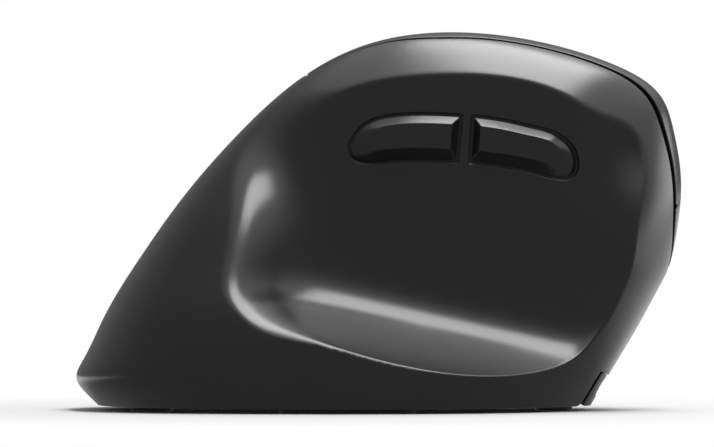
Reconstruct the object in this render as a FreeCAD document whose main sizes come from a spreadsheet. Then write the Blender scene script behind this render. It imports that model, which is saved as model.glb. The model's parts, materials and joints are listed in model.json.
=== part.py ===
"""Left-handed upright computer mouse: sculpted shells round a sprung key, wheel and sensor assembly.

The mouse stands on its feet with the base on Z = 0 and the origin under the middle of its box.
+X is the front, where the fingers press, -Y is the thumb side and +Z is up. Sizes are in mm.
The finger side has a tilted frame of its own, with axes X, S (down the slope) and N (out of it),
in which the keys, the wheel and their switches are laid out.
"""
import FreeCAD, Part
import math
import os
import re
from FreeCAD import Placement, Rotation, Vector

SIZES = [
    # Overall form
    ("body_length", 118.0),
    ("body_height", 73.5),
    ("thumb_width", 39.6),
    ("finger_width", 39.3),
    ("shell_wall", 2.0),
    ("ground_gap", 0.8),
    ("crest_x", 14.0),
    ("tail_bend", 3.4),
    # Thumb scoop
    ("scoop_depth", 13.1),
    ("scoop_turn", 0.035),
    ("scoop_lean", 5.0),
    ("rest_level", 16.8),
    ("rest_fall", 0.185),
    ("rest_softness", 2.5),
    ("flare_start", -19.5),
    ("flare_level", 32.0),
    ("flare_lean", 37.0),
    ("flare_softness", 4.0),
    ("rest_nose_rise", 2.2),
    # Seams between the outer pieces
    ("shell_seam", 0.2),
    ("key_seam", 0.4),
    ("nose_seam", 1.0),
    ("cap_gap", 0.35),
    ("running_gap", 0.05),
    ("seat_gap", 0.1),
    # Finger slope frame
    ("slope_tilt", 58.4),
    ("slope_y", 19.24),
    ("slope_z", 52.84),
    # Keys
    ("key_rear_x", -15.0),
    ("key_rear_slant", 4.0),
    ("key_foot_s", 25.4),
    ("key_foot_x", 36.0),
    ("key_nose_s", 11.9),
    ("key_nose_x", 57.5),
    ("hinge_x", -6.0),
    ("hinge_n", -7.5),
    ("hinge_near_s", 7.0),
    ("hinge_width", 7.0),
    ("hinge_block", 4.0),
    ("trunnion_radius", 1.2),
    ("trunnion_length", 1.8),
    ("key_switch_x", 31.5),
    ("key_switch_s", 14.0),
    ("pusher_radius", 1.6),
    # Centre strip
    ("strip_rear_x", -4.0),
    ("strip_length", 56.0),
    ("strip_width", 11.0),
    ("strip_inset", 0.3),
    ("strip_post_x", 0.5),
    ("strip_nose_post_x", 50.0),
    ("strip_peg_radius", 1.3),
    ("strip_post_radius", 2.4),
    ("speed_x", 10.0),
    ("speed_length", 9.0),
    ("speed_width", 5.0),
    ("speed_travel", 0.5),
    ("speed_proud", 0.5),
    # Scroll wheel
    ("wheel_x", 35.0),
    ("wheel_n", -7.2),
    ("wheel_radius", 12.0),
    ("wheel_width", 7.0),
    ("wheel_slot_length", 24.8),
    ("wheel_slot_width", 8.4),
    ("tyre_depth", 2.0),
    ("rib_radius", 0.5),
    ("axle_radius", 1.3),
    ("cheek_near_s", 5.0),
    ("cheek_wall", 1.5),
    ("pivot_x", 17.0),
    ("pivot_n", -9.0),
    ("pivot_radius", 1.0),
    ("carrier_floor_n", -10.7),
    ("carrier_top_n", -4.6),
    ("encoder_wall", 2.6),
    ("encoder_width", 8.0),
    ("rotor_radius", 2.6),
    # Button board, its switches and the frame under it
    ("board_wall", 1.6),
    ("button_board_n", -15.0),
    ("button_board_rear_x", 4.0),
    ("button_board_length", 38.0),
    ("button_board_reach", 18.0),
    ("board_notch", 4.6),
    ("switch_length", 12.8),
    ("switch_width", 5.8),
    ("switch_tall", 6.5),
    ("plunger_proud", 0.8),
    ("tact_width", 6.0),
    ("small_tact_width", 4.5),
    ("tact_tall", 3.5),
    ("small_tact_tall", 2.0),
    ("tact_plunger_radius", 1.7),
    ("frame_wall", 1.6),
    ("frame_rear_x", -14.0),
    ("frame_length", 66.0),
    ("frame_top_s", -15.0),
    ("frame_low_s", 21.0),
    ("standoff", 1.4),
    ("standoff_radius", 2.2),
    ("leg_radius", 3.0),
    ("rear_leg_x", -11.0),
    ("front_leg_x", 26.0),
    ("low_leg_y", 12.0),
    ("high_leg_y", -2.6),
    # Thumb buttons
    ("side_rear_x", -7.2),
    ("side_split_x", 17.0),
    ("side_post", 1.7),
    ("side_nose_x", 40.0),
    ("side_top_z", 57.3),
    ("side_low_z", 47.9),
    ("side_nose_top_z", 55.0),
    ("side_nose_low_z", 44.0),
    ("side_proud", 1.7),
    ("side_bevel", 1.4),
    ("side_flange", 0.7),
    ("side_flange_wall", 1.0),
    ("side_travel", 0.6),
    ("side_board_y", -6.4),
    ("side_board_wall", 1.2),
    ("side_post_radius", 2.3),
    ("side_post_z", 40.4),
    # Base
    ("base_wall", 2.0),
    ("foot_wall", 1.0),
    ("foot_recess", 0.2),
    ("foot_width", 8.0),
    ("foot_length", 26.0),
    ("main_board_level", 6.4),
    ("main_board_rear_x", -6.0),
    ("main_board_length", 44.0),
    ("main_board_width", 37.0),
    ("main_board_nose", 20.0),
    ("sensor_x", 8.0),
    ("sensor_length", 11.0),
    ("sensor_width", 9.4),
    ("sensor_tall", 2.6),
    ("lens_length", 19.0),
    ("lens_width", 13.0),
    ("window_length", 13.0),
    ("window_width", 8.0),
    ("battery_length", 32.0),
    ("battery_width", 25.0),
    ("battery_tall", 6.0),
    ("battery_rear_x", -49.0),
    ("battery_pad_wall", 1.2),
    ("power_x", 27.0),
    ("power_y", -11.0),
    ("power_travel", 2.0),
    ("port_depth", 2.0),
    ("port_top_z", 7.6),
    ("port_mouth_width", 9.6),
    ("port_mouth_tall", 3.9),
    ("socket_length", 7.4),
    ("socket_width", 9.0),
    ("socket_tall", 3.2),
    ("socket_wall", 0.35),
    # Fasteners
    ("screw_radius", 1.0),
    ("screw_head_radius", 1.9),
    ("screw_head_wall", 1.1),
    ("shell_boss_radius", 3.2),
    ("shell_boss_top", 11.0),
]

doc = FreeCAD.newDocument("upright_mouse")
sheet = doc.addObject("Spreadsheet::Sheet", "Sizes")
for row, (alias, value) in enumerate(SIZES, start=1):
    sheet.set("A%d" % row, alias.replace("_", " "))
    sheet.set("B%d" % row, str(value))
    sheet.setAlias("B%d" % row, alias)
workings = doc.addObject("Spreadsheet::Sheet", "Workings")
doc.recompute()

PIECES = []


def size(alias):
    """Value of one cell of the sheet."""
    return float(sheet.get(alias))


def bind(thing, prop, formula):
    """Ties a property to a formula of the sheet's aliases."""
    thing.setExpression(prop, re.sub(r"\b([a-z]\w*)\b", r"Sizes.\1", formula))


def value_of(formula):
    """Value of a formula of the sheet's aliases."""
    workings.set("A1", "=" + re.sub(r"\b([a-z]\w*)\b", r"Sizes.\1", formula))
    workings.recompute()
    return float(workings.get("A1"))


def at(thing, place):
    """Binds the position of a piece to three formulas, parted by commas."""
    for axis, formula in zip("xyz", place.split(",")):
        bind(thing, "Placement.Base." + axis, formula.strip())


def block(name, sides, corner):
    """Box from its three sides and its lowest corner."""
    box = doc.addObject("Part::Box", name)
    for prop, formula in zip(("Length", "Width", "Height"), sides.split(",")):
        bind(box, prop, formula.strip())
    at(box, corner)
    return box


TURNS = {"x": Rotation(Vector(0, 1, 0), 90), "y": Rotation(Vector(1, 0, 0), -90), "z": Rotation()}


def rod(name, radius, length, start, axis="z"):
    """Cylinder that starts at a point and runs along +X, +Y or +Z."""
    shaft = doc.addObject("Part::Cylinder", name)
    shaft.Placement = Placement(Vector(), TURNS[axis])
    bind(shaft, "Radius", radius)
    bind(shaft, "Height", length)
    at(shaft, start)
    return shaft


def joined(name, parts):
    """One solid from overlapping parts."""
    fuse = doc.addObject("Part::MultiFuse", name)
    fuse.Shapes = parts
    return fuse


def carved(name, base, tools):
    """Base less its tools."""
    tool = tools[0] if len(tools) == 1 else joined(name + "_tools", tools)
    cut = doc.addObject("Part::Cut", name)
    cut.Base = base
    cut.Tool = tool
    return cut


def shared(name, first, second):
    """What two solids have in common."""
    common = doc.addObject("Part::MultiCommon", name)
    common.Shapes = [first, second]
    return common


def held(name, shape):
    """Object that holds a shape made in code."""
    thing = doc.addObject("Part::Feature", name)
    thing.Shape = shape
    return thing


def piece(label, thing, place=None):
    """Names a finished sub-part and puts it in its place."""
    if place is not None:
        thing.Placement = place
    thing.Label = label
    PIECES.append(thing)
    return thing


def plane_of(body, role):
    """Origin plane of a body."""
    return [plane for plane in body.Origin.OriginFeatures if plane.Role == role][0]


def outline(body, name, plane, corners, lift=0.0):
    """Closed sketch through corners, each an x formula, a y formula and the bulge of the next side."""
    sketch = body.newObject("Sketcher::SketchObject", name)
    sketch.AttachmentSupport = [(plane_of(body, plane), "")]
    sketch.MapMode = "FlatFace"
    sketch.AttachmentOffset = Placement(Vector(0, 0, lift), Rotation())
    spots = [Vector(value_of(x), value_of(y), 0) for x, y, _ in corners]
    starts = []
    for i, (_, _, bulge) in enumerate(corners):
        here, there = spots[i], spots[(i + 1) % len(spots)]
        if bulge:
            side = there - here
            middle = (here + there) / 2 + Vector(side.y, -side.x, 0).normalize() * bulge
            arc = Part.Arc(here, middle, there)
            curve = arc.toShape().Curve
            arc = Part.ArcOfCircle(Part.Circle(curve.Center, Vector(0, 0, 1), curve.Radius),
                                   *arc_span(curve.Center, here, middle, there))
            sketch.addGeometry(arc, False)
            starts.append(1 if (arc.StartPoint - here).Length < 1e-6 else 2)
        else:
            sketch.addGeometry(Part.LineSegment(here, there), False)
            starts.append(1)
    import Sketcher
    for i, (x, y, bulge) in enumerate(corners):
        following = (i + 1) % len(corners)
        end = 3 - starts[i]
        sketch.addConstraint(Sketcher.Constraint("Coincident", i, end, following, starts[following]))
        for kind, formula in (("DistanceX", x), ("DistanceY", y)):
            spot = value_of(formula)
            index = sketch.addConstraint(Sketcher.Constraint(kind, -1, 1, i, starts[i], spot))
            bind(sketch, "Constraints[%d]" % index, formula)
        if bulge:
            sketch.addConstraint(Sketcher.Constraint("Radius", i, sketch.Geometry[i].Radius))
    return sketch


def arc_span(centre, here, middle, there):
    """Start and end angles, counter-clockwise, of the arc from one point to another by a third."""
    angles = [math.atan2(p.y - centre.y, p.x - centre.x) for p in (here, middle, there)]
    first, half, last = angles
    turn = 2 * math.pi
    if (half - first) % turn < (last - first) % turn:
        return first, first + (last - first) % turn
    return last, last + (first - last) % turn


def slab(name, plane, corners, thickness, lift=0.0):
    """Body with one pad over an outline."""
    body = doc.addObject("PartDesign::Body", name)
    sketch = outline(body, name + "_outline", plane, corners, lift)
    pad = body.newObject("PartDesign::Pad", name + "_pad")
    pad.Profile = sketch
    bind(pad, "Length", thickness)
    sketch.Visibility = False
    return body


def finished(body):
    """Last feature of a body, worked out."""
    for feature in body.Group:
        feature.recompute()
    return body.Tip


def rounded(body, radius, picked):
    """Fillet on the edges that a test picks from the body so far."""
    tip = finished(body)
    names = ["Edge%d" % (i + 1) for i, edge in enumerate(tip.Shape.Edges) if picked(edge)]
    fillet = body.newObject("PartDesign::Fillet", body.Name + "_round%d" % len(body.Group))
    fillet.Base = (tip, names)
    bind(fillet, "Radius", radius)
    return fillet


def upright(edge):
    """Whether an edge runs along Z."""
    return abs(edge.tangentAt(edge.FirstParameter).z) > 0.99


def beveled(body, depth, picked):
    """Chamfer on the edges that a test picks from the body so far."""
    tip = finished(body)
    names = ["Edge%d" % (i + 1) for i, edge in enumerate(tip.Shape.Edges) if picked(edge)]
    chamfer = body.newObject("PartDesign::Chamfer", body.Name + "_bevel%d" % len(body.Group))
    chamfer.Base = (tip, names)
    bind(chamfer, "Size", depth)
    return chamfer


def curve_through(knots):
    """Natural cubic spline through (u, value) knots, as a function of u."""
    count = len(knots)
    steps = [knots[i + 1][0] - knots[i][0] for i in range(count - 1)]
    rises = [(knots[i + 1][1] - knots[i][1]) / steps[i] for i in range(count - 1)]
    diagonal = [1.0] * count
    right = [0.0] * count
    upper = [0.0] * count
    for i in range(1, count - 1):
        lower = steps[i - 1]
        scale = lower / diagonal[i - 1]
        diagonal[i] = 2 * (steps[i - 1] + steps[i]) - scale * upper[i - 1]
        right[i] = 6 * (rises[i] - rises[i - 1]) - scale * right[i - 1]
        upper[i] = steps[i]
    bends = [0.0] * count
    for i in range(count - 2, 0, -1):
        bends[i] = (right[i] - upper[i] * bends[i + 1]) / diagonal[i]

    def value(u):
        u = min(max(u, knots[0][0]), knots[-1][0])
        i = 0
        while i < count - 2 and u > knots[i + 1][0]:
            i += 1
        past, left, step = u - knots[i][0], knots[i + 1][0] - u, steps[i]
        return ((bends[i] * left ** 3 + bends[i + 1] * past ** 3) / (6 * step)
                + (knots[i][1] / step - bends[i] * step / 6) * left
                + (knots[i + 1][1] / step - bends[i + 1] * step / 6) * past)
    return value


# Half outlines of the body against q, the root of the depth below the crest over the height.
# Front and tail are shares of the length, the two sides are shares of their own widths.
FRONT = curve_through([(0, .119), (.10, .211), (.20, .304), (.30, .395), (.342, .4285), (.406, .4636),
                       (.507, .4864), (.646, .4992), (.724, .4924), (.76, .4864), (.794, .4765),
                       (.826, .4602), (.888, .4237), (.945, .3847), (.993, .350), (1.06, .297)])
TAIL = curve_through([(0, .119), (.104, .035), (.195, -.0305), (.297, -.0966), (.422, -.173),
                      (.534, -.2415), (.665, -.326), (.776, -.3966), (.872, -.456), (.932, -.489),
                      (.9597, -.4992), (.975, -.487), (.9945, -.4627), (1.06, -.385)])
THUMB = curve_through([(0, 0), (.104, .114), (.19, .205), (.279, .303), (.382, .417), (.487, .523),
                       (.588, .636), (.694, .765), (.804, .891), (.884, .98), (.926, 1.0), (.965, .97),
                       (1.0, .899), (1.06, .775)])
FINGER = curve_through([(0, 0), (.104, .1145), (.199, .211), (.318, .336), (.458, .483), (.6, .644),
                        (.723, .789), (.829, .916), (.9, .987), (.937, 1.0), (.972, .9745),
                        (1.0, .924), (1.06, .78)])
# Offset of the seam between the shells from the middle, against the fan's angle in degrees.
SEAM = curve_through([(22, 10.5), (27, 8.6), (33, 4.6), (39, .4), (44, -3.6), (50, -4.9), (60, -5.0), (90, -5.0),
                      (100, -2.6), (110, .6), (120, 3.6), (130, 6.2), (142, 8.6), (162, 9.2)])
FAN = [23.5, 27, 31, 35, 39, 43, 48, 53, 58, 64, 71, 79, 87, 95, 103, 111, 119, 127, 135, 142, 148,
       152, 155, 157.5, 160, 161.6]
FAN_Z = -20.0
FLOOR_Z = -6.0
SIDE_STEPS = 12


def depth_share(z):
    """Root of the share of the height that lies above a level."""
    return math.sqrt(max(0.0, 1 - z / size_of["body_height"]))


def ends(z):
    """Tail and front ends of the body at a level."""
    q = depth_share(z)
    return TAIL(q) * size_of["body_length"], FRONT(q) * size_of["body_length"]


def middle_y(x):
    """Y of the ridge, which bends to the finger side towards the tail."""
    return size_of["tail_bend"] * ((x - size_of["crest_x"]) / 60) ** 2


def fullness(x, z, flat, skew):
    """Share of a side's half width at a place along the body, 0 at the ends."""
    tail, front = ends(z)
    if front - tail < 1e-6:
        return 0.0
    along = (2 * x - tail - front) / (front - tail)
    return math.sqrt(max(0.0, (1 - along ** 2) * (1 - (flat + skew * along) * along ** 2)))


def thumb_y(x, z):
    """Outer surface of the thumb side before the scoop is cut."""
    return middle_y(x) - size_of["thumb_width"] * THUMB(depth_share(z)) * fullness(x, z, -.35, .65)


def finger_y(x, z):
    """Outer surface of the finger side."""
    return middle_y(x) + size_of["finger_width"] * FINGER(depth_share(z)) * fullness(x, z, -.25, .35)


def reach(angle):
    """Distance from the fan's pivot to the outline in side view."""
    near, far = 25.0, 3 * size_of["body_length"]
    for _ in range(50):
        middle = (near + far) / 2
        x = middle * math.cos(angle)
        z = FAN_Z + middle * math.sin(angle)
        tail, front = ends(z)
        if z < size_of["body_height"] and tail < x < front:
            near = middle
        else:
            far = middle
    return near


def form_rows():
    """Rows of points, one per fan angle, from the thumb side's foot over the ridge to the finger side's."""
    rows = []
    for degrees in FAN:
        angle = math.radians(degrees)
        top = reach(angle)
        low = (FLOOR_Z - FAN_Z) / math.sin(angle)
        row = []
        for step in range(-SIDE_STEPS, SIDE_STEPS + 1):
            far = top - (top - low) * (1 - math.cos(math.pi * step / SIDE_STEPS)) / 2
            x = far * math.cos(angle)
            z = FAN_Z + far * math.sin(angle)
            side = thumb_y if step < 0 else finger_y
            row.append(Vector(x, middle_y(x) if step == 0 else side(x, z), z))
        rows.append(row)
    return rows


def moved_in(rows, distance):
    """Rows moved along their surface's normals."""
    last_row, last = len(rows) - 1, len(rows[0]) - 1
    out = []
    for i, row in enumerate(rows):
        new = []
        for j, point in enumerate(row):
            along = rows[min(i + 1, last_row)][j] - rows[max(i - 1, 0)][j]
            across = row[min(j + 1, last)] - row[max(j - 1, 0)]
            new.append(point + along.cross(across).normalize() * distance)
        out.append(new)
    return out


def squared_off(rows, distance):
    """Rows with level feet and flat ends, so that flat faces can close them."""
    out = [list(row) for row in rows]
    for row in out:
        for j in (0, -1):
            row[j] = Vector(row[j].x, row[j].y, FLOOR_Z)
    for i, sign in ((0, 1), (-1, -1)):
        angle = math.radians(FAN[i])
        angle += sign * distance * math.sin(angle) / (FLOOR_Z - FAN_Z)
        for j, point in enumerate(out[i]):
            far = math.hypot(point.x, point.z - FAN_Z)
            if j in (0, len(out[i]) - 1):
                far = (FLOOR_Z - FAN_Z) / math.sin(angle)
            out[i][j] = Vector(far * math.cos(angle), point.y, FAN_Z + far * math.sin(angle))
    return out


def skin(rows):
    """Smooth face through rows of points."""
    surface = Part.BSplineSurface()
    surface.interpolate(rows)
    return surface.toShape()


def closed_form(distance):
    """Solid of the body's form, drawn in by a distance, with flat ends below the ground."""
    rows = form_rows()
    if distance:
        rows = moved_in(rows, distance)
    face = skin(squared_off(rows, distance))
    faces = [face]
    rim = []
    for edge in face.Edges:
        first, last = edge.Vertexes[0].Point, edge.Vertexes[-1].Point
        half = edge.valueAt((edge.FirstParameter + edge.LastParameter) / 2)
        if abs(half.z - first.z) < 0.01:
            rim.append(edge)
        else:
            chord = Part.makeLine(first, last)
            faces.append(Part.Face(Part.Wire([edge, chord])))
            rim.append(chord)
    faces.append(Part.Face(Part.Wire(Part.__sortEdges__(rim))))
    solid = Part.Solid(Part.Shell(faces))
    if solid.Volume < 0:
        solid.reverse()
    return solid


def eased(u, low, high):
    """Smooth step from 0 at low to 1 at high."""
    share = min(max((u - low) / (high - low), 0.0), 1.0)
    return share * share * (3 - 2 * share)


def soft_least(first, second, reach_of_blend):
    """Smaller of two values, with the change between them rounded."""
    share = max(reach_of_blend - abs(first - second), 0.0) / reach_of_blend
    return min(first, second) - share * share * reach_of_blend / 4


def scoop_y(x, z):
    """Depth, from the middle, of the panel that the thumb lies against: wall, rest and flared rear."""
    nose = math.exp(-((x - 52) / 8) ** 2 - ((z - 53) / 12) ** 2)
    wall = size_of["scoop_depth"] + size_of["scoop_turn"] * x - size_of["scoop_lean"] * nose
    slope = .29 + .0033 * x
    below = size_of["rest_level"] - size_of["rest_fall"] * x - z
    below += size_of["rest_nose_rise"] * math.exp(-((x - 43) / 4) ** 2)
    rest = (below + math.hypot(below, 2 * size_of["rest_softness"])) / (2 * slope)
    behind = size_of["flare_start"] - (z - size_of["flare_level"]) ** 2 / size_of["flare_lean"] - x
    flare = .9 * (behind + math.hypot(behind, 2 * size_of["flare_softness"]))
    return wall + rest + flare


def scoop_cut_y(x, z):
    """Scoop's surface as it is cut: at the rear it runs softly into the outer surface."""
    inner = scoop_y(x, z)
    rear = 1 - eased(x, -24, -6)
    blend = 10.0
    outer = -thumb_y(x, z)
    past = max(inner - outer - .8 * blend, 0.0)
    soft = soft_least(inner, outer, blend) + .2 * past + .05 * past ** 2
    return -min(rear * soft + (1 - rear) * inner, 2.2 * size_of["thumb_width"])


def scoop_tool(distance):
    """Solid on the thumb side of the scoop's surface, which is moved in by a distance."""
    across = size_of["body_length"] / 118
    up = size_of["body_height"] / 73.5
    rows = [[Vector(x * across, scoop_cut_y(x * across, z * up), z * up)
             for z in [-8 + 2.4 * j for j in range(37)]]
            for x in [-66 + 2.5 * i for i in range(53)]]
    if distance:
        rows = moved_in(rows, -distance)
    return skin(rows).extrude(Vector(0, -1.6 * size_of["thumb_width"], 0))


def seam_half(gap, way):
    """Half space, as a solid, on the thumb side (-1) or the finger side (+1) of the seam."""
    rows = []
    for i in range(0, 37):
        degrees = 18 + (166 - 18) * i / 36
        angle = math.radians(degrees)
        y = SEAM(degrees) + gap(reach(angle) * math.cos(angle))
        rows.append([Vector(far * math.cos(angle), y, FAN_Z + far * math.sin(angle)) for far in (12, 50, 90, 130)])
    return skin(rows).extrude(Vector(0, way * 2 * size_of["finger_width"], 0))


size_of = {alias: size(alias) for alias, _ in SIZES}
slope_place = Placement(Vector(0, size("slope_y"), size("slope_z")),
                        Rotation(Vector(1, 0, 0), -size("slope_tilt")))


def on_slope(thing):
    """Puts a piece that is laid out in X, S and N into the finger slope's frame."""
    thing.Placement = slope_place
    return thing


def key_gap(x):
    """Gap that lets a key swing down past the thumb shell, wider towards the nose."""
    swing = (x - size_of["hinge_x"]) / (size_of["key_nose_x"] - size_of["hinge_x"])
    return size_of["key_seam"] + (size_of["nose_seam"] - size_of["key_seam"]) * max(swing, 0.0)


# Forms that the shells are cut from
above_ground = block("above_ground", "3*body_length, 3*body_length, 3*body_height",
                     "-1.5*body_length, -1.5*body_length, ground_gap")
scoop = held("scoop", scoop_tool(0.0))
outer_form = carved("outer_form", held("outer_skin", closed_form(0.0)), [scoop])
body_form = shared("body_form", outer_form, above_ground)
wall = size("shell_wall")
cavity = carved("cavity", held("cavity_skin", closed_form(wall)), [held("cavity_scoop", scoop_tool(wall))])
mid_wall = carved("mid_wall", held("mid_skin", closed_form(wall / 2)), [held("mid_scoop", scoop_tool(wall / 2))])
room_gap = wall + 0.6
room = carved("room", held("room_skin", closed_form(room_gap)), [held("room_scoop", scoop_tool(room_gap))])
shell = carved("shell", body_form, [cavity])
thumb_side = held("thumb_side", seam_half(lambda x: 0.0, -1))
palm_side = held("palm_side", seam_half(lambda x: size_of["shell_seam"], 1))
key_side = held("key_side", seam_half(key_gap, 1))

# Outlines on the finger slope
REAR = "key_rear_x + key_rear_slant*%s"
KEY_FIELD = [(REAR % "(-0.26)", "-45", 0), ("80", "-45", 0), ("80", "key_nose_s - 14", 0),
             ("key_nose_x", "key_nose_s", 0), ("key_foot_x", "key_foot_s", 0), (REAR % "1", "key_foot_s", 0)]
NEAR_KEY = [(REAR % "(-0.26)" + " + key_seam", "-45", 0), ("80", "-45", 0), ("80", "-key_seam/2", 0),
            (REAR % "0.53" + " + key_seam", "-key_seam/2", 0)]
FAR_KEY = [(REAR % "0.53" + " + key_seam", "key_seam/2", 0), ("80", "key_seam/2", 0),
           ("80", "key_nose_s - 14 - key_seam", 0), ("key_nose_x", "key_nose_s - key_seam", 0),
           ("key_foot_x", "key_foot_s - key_seam", 0), (REAR % "1" + " + key_seam", "key_foot_s - key_seam", 0)]


def slope_prism(name, corners):
    """Prism over an outline on the finger slope, deep enough to pass through the shell."""
    return on_slope(slab(name, "XY_Plane", corners, "60", -40.0))


def racetrack(name, centre, length, width, thickness, lift=0.0, rounding=None):
    """Pad over a rectangle with round ends, or with corners of a given radius."""
    corners = [("%s + (%s)*(%s)/2" % (centre[0], i, length), "%s + (%s)*(%s)/2" % (centre[1], j, width), 0)
               for i, j in ((-1, -1), (1, -1), (1, 1), (-1, 1))]
    body = slab(name, "XY_Plane", corners, thickness, lift)
    rounded(body, rounding or "0.49*(%s)" % min(length, width, key=value_of), upright)
    return body


def drop(label, x, s, low, high, radius):
    """Upright pin on the slope from a low to a high N."""
    return rod(label, radius, "%s - (%s)" % (high, low), "%s, %s, %s" % (x, s, low))


def slope_spot(x, s, n):
    """Place on the finger slope, for a body that is made about its own origin."""
    return slope_place.multiply(Placement(Vector(x, s, n), Rotation()))


def slope_pin(name, x, s, low, high, radius):
    """Pin of its own on the slope, from a low to a high N."""
    body = doc.addObject("PartDesign::Body", name)
    shaft = body.newObject("PartDesign::AdditiveCylinder", name + "_shaft")
    bind(shaft, "Radius", radius)
    bind(shaft, "Height", "%s - (%s)" % (high, low))
    body.Placement = slope_spot(value_of(x), value_of(s), value_of(low))
    return body


strip_middle = "strip_rear_x + strip_length/2"
strip_hole = on_slope(racetrack("strip_hole", (strip_middle, "0"), "strip_length + 2*key_seam",
                                "strip_width + 2*key_seam", "40", -20.0))
switch_top = "button_board_n + board_wall + switch_tall"


def key(label, corners, side):
    """Key plate with its hinge block, trunnions and pusher; side is -1 towards the ridge, 1 away."""
    plate = shared(label + "_field", shared(label + "_half", shell, key_side), slope_prism(label + "_outline", corners))
    plate = carved(label + "_plate", plate, [strip_hole])
    near = "hinge_near_s" if side > 0 else "-hinge_near_s - hinge_width"
    hinge = block(label + "_hinge", "hinge_block, hinge_width, 14",
                  "hinge_x - hinge_block/2, %s, hinge_n - 1.8" % near)
    pin = rod(label + "_trunnions", "trunnion_radius", "hinge_width + 2*trunnion_length",
              "hinge_x, %s - trunnion_length, hinge_n" % near, "y")
    pusher = drop(label + "_pusher", "key_switch_x", "%d*key_switch_s" % side,
                  switch_top + " + plunger_proud + seat_gap", "6", "pusher_radius")
    under = shared(label + "_under", on_slope(joined(label + "_posts", [hinge, pusher, pin])), mid_wall)
    return piece(label, joined(label + "_body", [plate, under]))


primary = key("primary_button", NEAR_KEY, -1)
secondary = key("secondary_button", FAR_KEY, 1)

# Centre strip between the keys, with the wheel's slot and the pointer speed button
strip_skin = carved("strip_skin", held("strip_form", closed_form(size("strip_inset"))), [cavity])
strip_race = on_slope(racetrack("strip_race", (strip_middle, "0"), "strip_length", "strip_width", "40", -20.0))
wheel_slot = on_slope(racetrack("wheel_slot", ("wheel_x", "0"), "wheel_slot_length", "wheel_slot_width", "40",
                                -20.0, "1"))
speed_slot = on_slope(racetrack("speed_slot", ("speed_x", "0"), "speed_length + 2*cap_gap",
                                "speed_width + 2*cap_gap", "40", -20.0))
strip_plate = carved("strip_plate", shared("strip_field", strip_skin, strip_race), [wheel_slot, speed_slot])
pegs = on_slope(joined("strip_pegs", [drop("strip_rear_peg", "strip_post_x", "0", "-6", "5", "strip_peg_radius"),
                                      drop("strip_nose_peg", "strip_nose_post_x", "0", "-13", "5",
                                           "strip_peg_radius")]))
piece("centre_strip", joined("strip_body", [strip_plate, shared("strip_pegs_cut", pegs, mid_wall)]))

speed_race = racetrack("speed_race", ("speed_x", "0"), "speed_length", "speed_width", "40", -20.0)
speed_lift = Vector(0, math.sin(math.radians(size("slope_tilt"))), math.cos(math.radians(size("slope_tilt"))))
speed_top = held("speed_top", closed_form(0.0))
speed_top.Placement = Placement(speed_lift * (size("speed_proud") - size("strip_inset")), Rotation())
speed_cap = carved("speed_cap", shared("speed_field", speed_top, on_slope(speed_race)), [cavity])
speed_plunger_top = "button_board_n + board_wall + tact_tall + 2.4"
speed_stem = slope_pin("speed_stem", "speed_x", "0", speed_plunger_top + " + seat_gap", "5", "pusher_radius")
piece("speed_button", joined("speed_body", [speed_cap, shared("speed_stem_cut", speed_stem, mid_wall)]))


def turned(name, corners):
    """Body of revolution about the Y axis, from (radius, y) corners."""
    body = doc.addObject("PartDesign::Body", name)
    sketch = outline(body, name + "_profile", "XY_Plane", corners)
    turn = body.newObject("PartDesign::Revolution", name + "_turn")
    turn.Profile = sketch
    turn.ReferenceAxis = (sketch, ["V_Axis"])
    turn.Angle = 360
    sketch.Visibility = False
    return body


# Scroll wheel: hub with its axle, ribbed tyre and the encoder's rotor
axle_start = "cheek_near_s + cheek_wall + encoder_wall"
wheel_spot = slope_spot(size("wheel_x"), 0, size("wheel_n"))
rim = "wheel_radius - tyre_depth"
hub = turned("hub_body", [("0.01", "-(%s)" % axle_start, 0), ("axle_radius", "-(%s)" % axle_start, 0),
                          ("axle_radius", "-2.6", 0), ("2.8", "-2.6", 0), ("2.8", "-1", 0),
                          (rim + " - 1.4", "-1", 0), (rim + " - 1.4", "-wheel_width/2 + 0.4", 0),
                          (rim, "-wheel_width/2 + 0.4", 0), (rim, "wheel_width/2 - 0.4", 0),
                          (rim + " - 1.4", "wheel_width/2 - 0.4", 0), (rim + " - 1.4", "1", 0), ("2.8", "1", 0),
                          ("2.8", "2.6", 0), ("axle_radius", "2.6", 0),
                          ("axle_radius", "cheek_near_s + cheek_wall", 0),
                          ("0.01", "cheek_near_s + cheek_wall", 0)])
piece("wheel_hub", hub, wheel_spot)

tyre = turned("tyre_body", [(rim, "-wheel_width/2", 0), ("wheel_radius - 1", "-wheel_width/2", 0),
                            ("wheel_radius", "-wheel_width/2 + 1", 0.25), ("wheel_radius", "wheel_width/2 - 1", 0),
                            ("wheel_radius - 1", "wheel_width/2", 0), (rim, "wheel_width/2", 0)])
groove = tyre.newObject("PartDesign::SubtractiveCylinder", "tyre_groove")
bind(groove, "Radius", "rib_radius")
bind(groove, "Height", "wheel_width + 2")
groove.Placement = Placement(Vector(size("wheel_radius") + 0.35, -size("wheel_width") / 2 - 1, 0), TURNS["y"])
bind(groove, "Placement.Base.x", "wheel_radius + 0.35")
grooves = tyre.newObject("PartDesign::PolarPattern", "tyre_grooves")
grooves.Originals = [groove]
grooves.Axis = (plane_of(tyre, "Y_Axis"), [""])
grooves.Angle = 360
grooves.Occurrences = 36
tyre.Tip = grooves
piece("wheel_tyre", tyre, wheel_spot)

rotor = turned("rotor_body", [("axle_radius", "0", 0), ("rotor_radius", "0", 0),
                              ("rotor_radius", "encoder_wall", 0), ("axle_radius", "encoder_wall", 0)])
piece("encoder_rotor", rotor, slope_spot(size("wheel_x"), -value_of(axle_start), size("wheel_n")))

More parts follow.
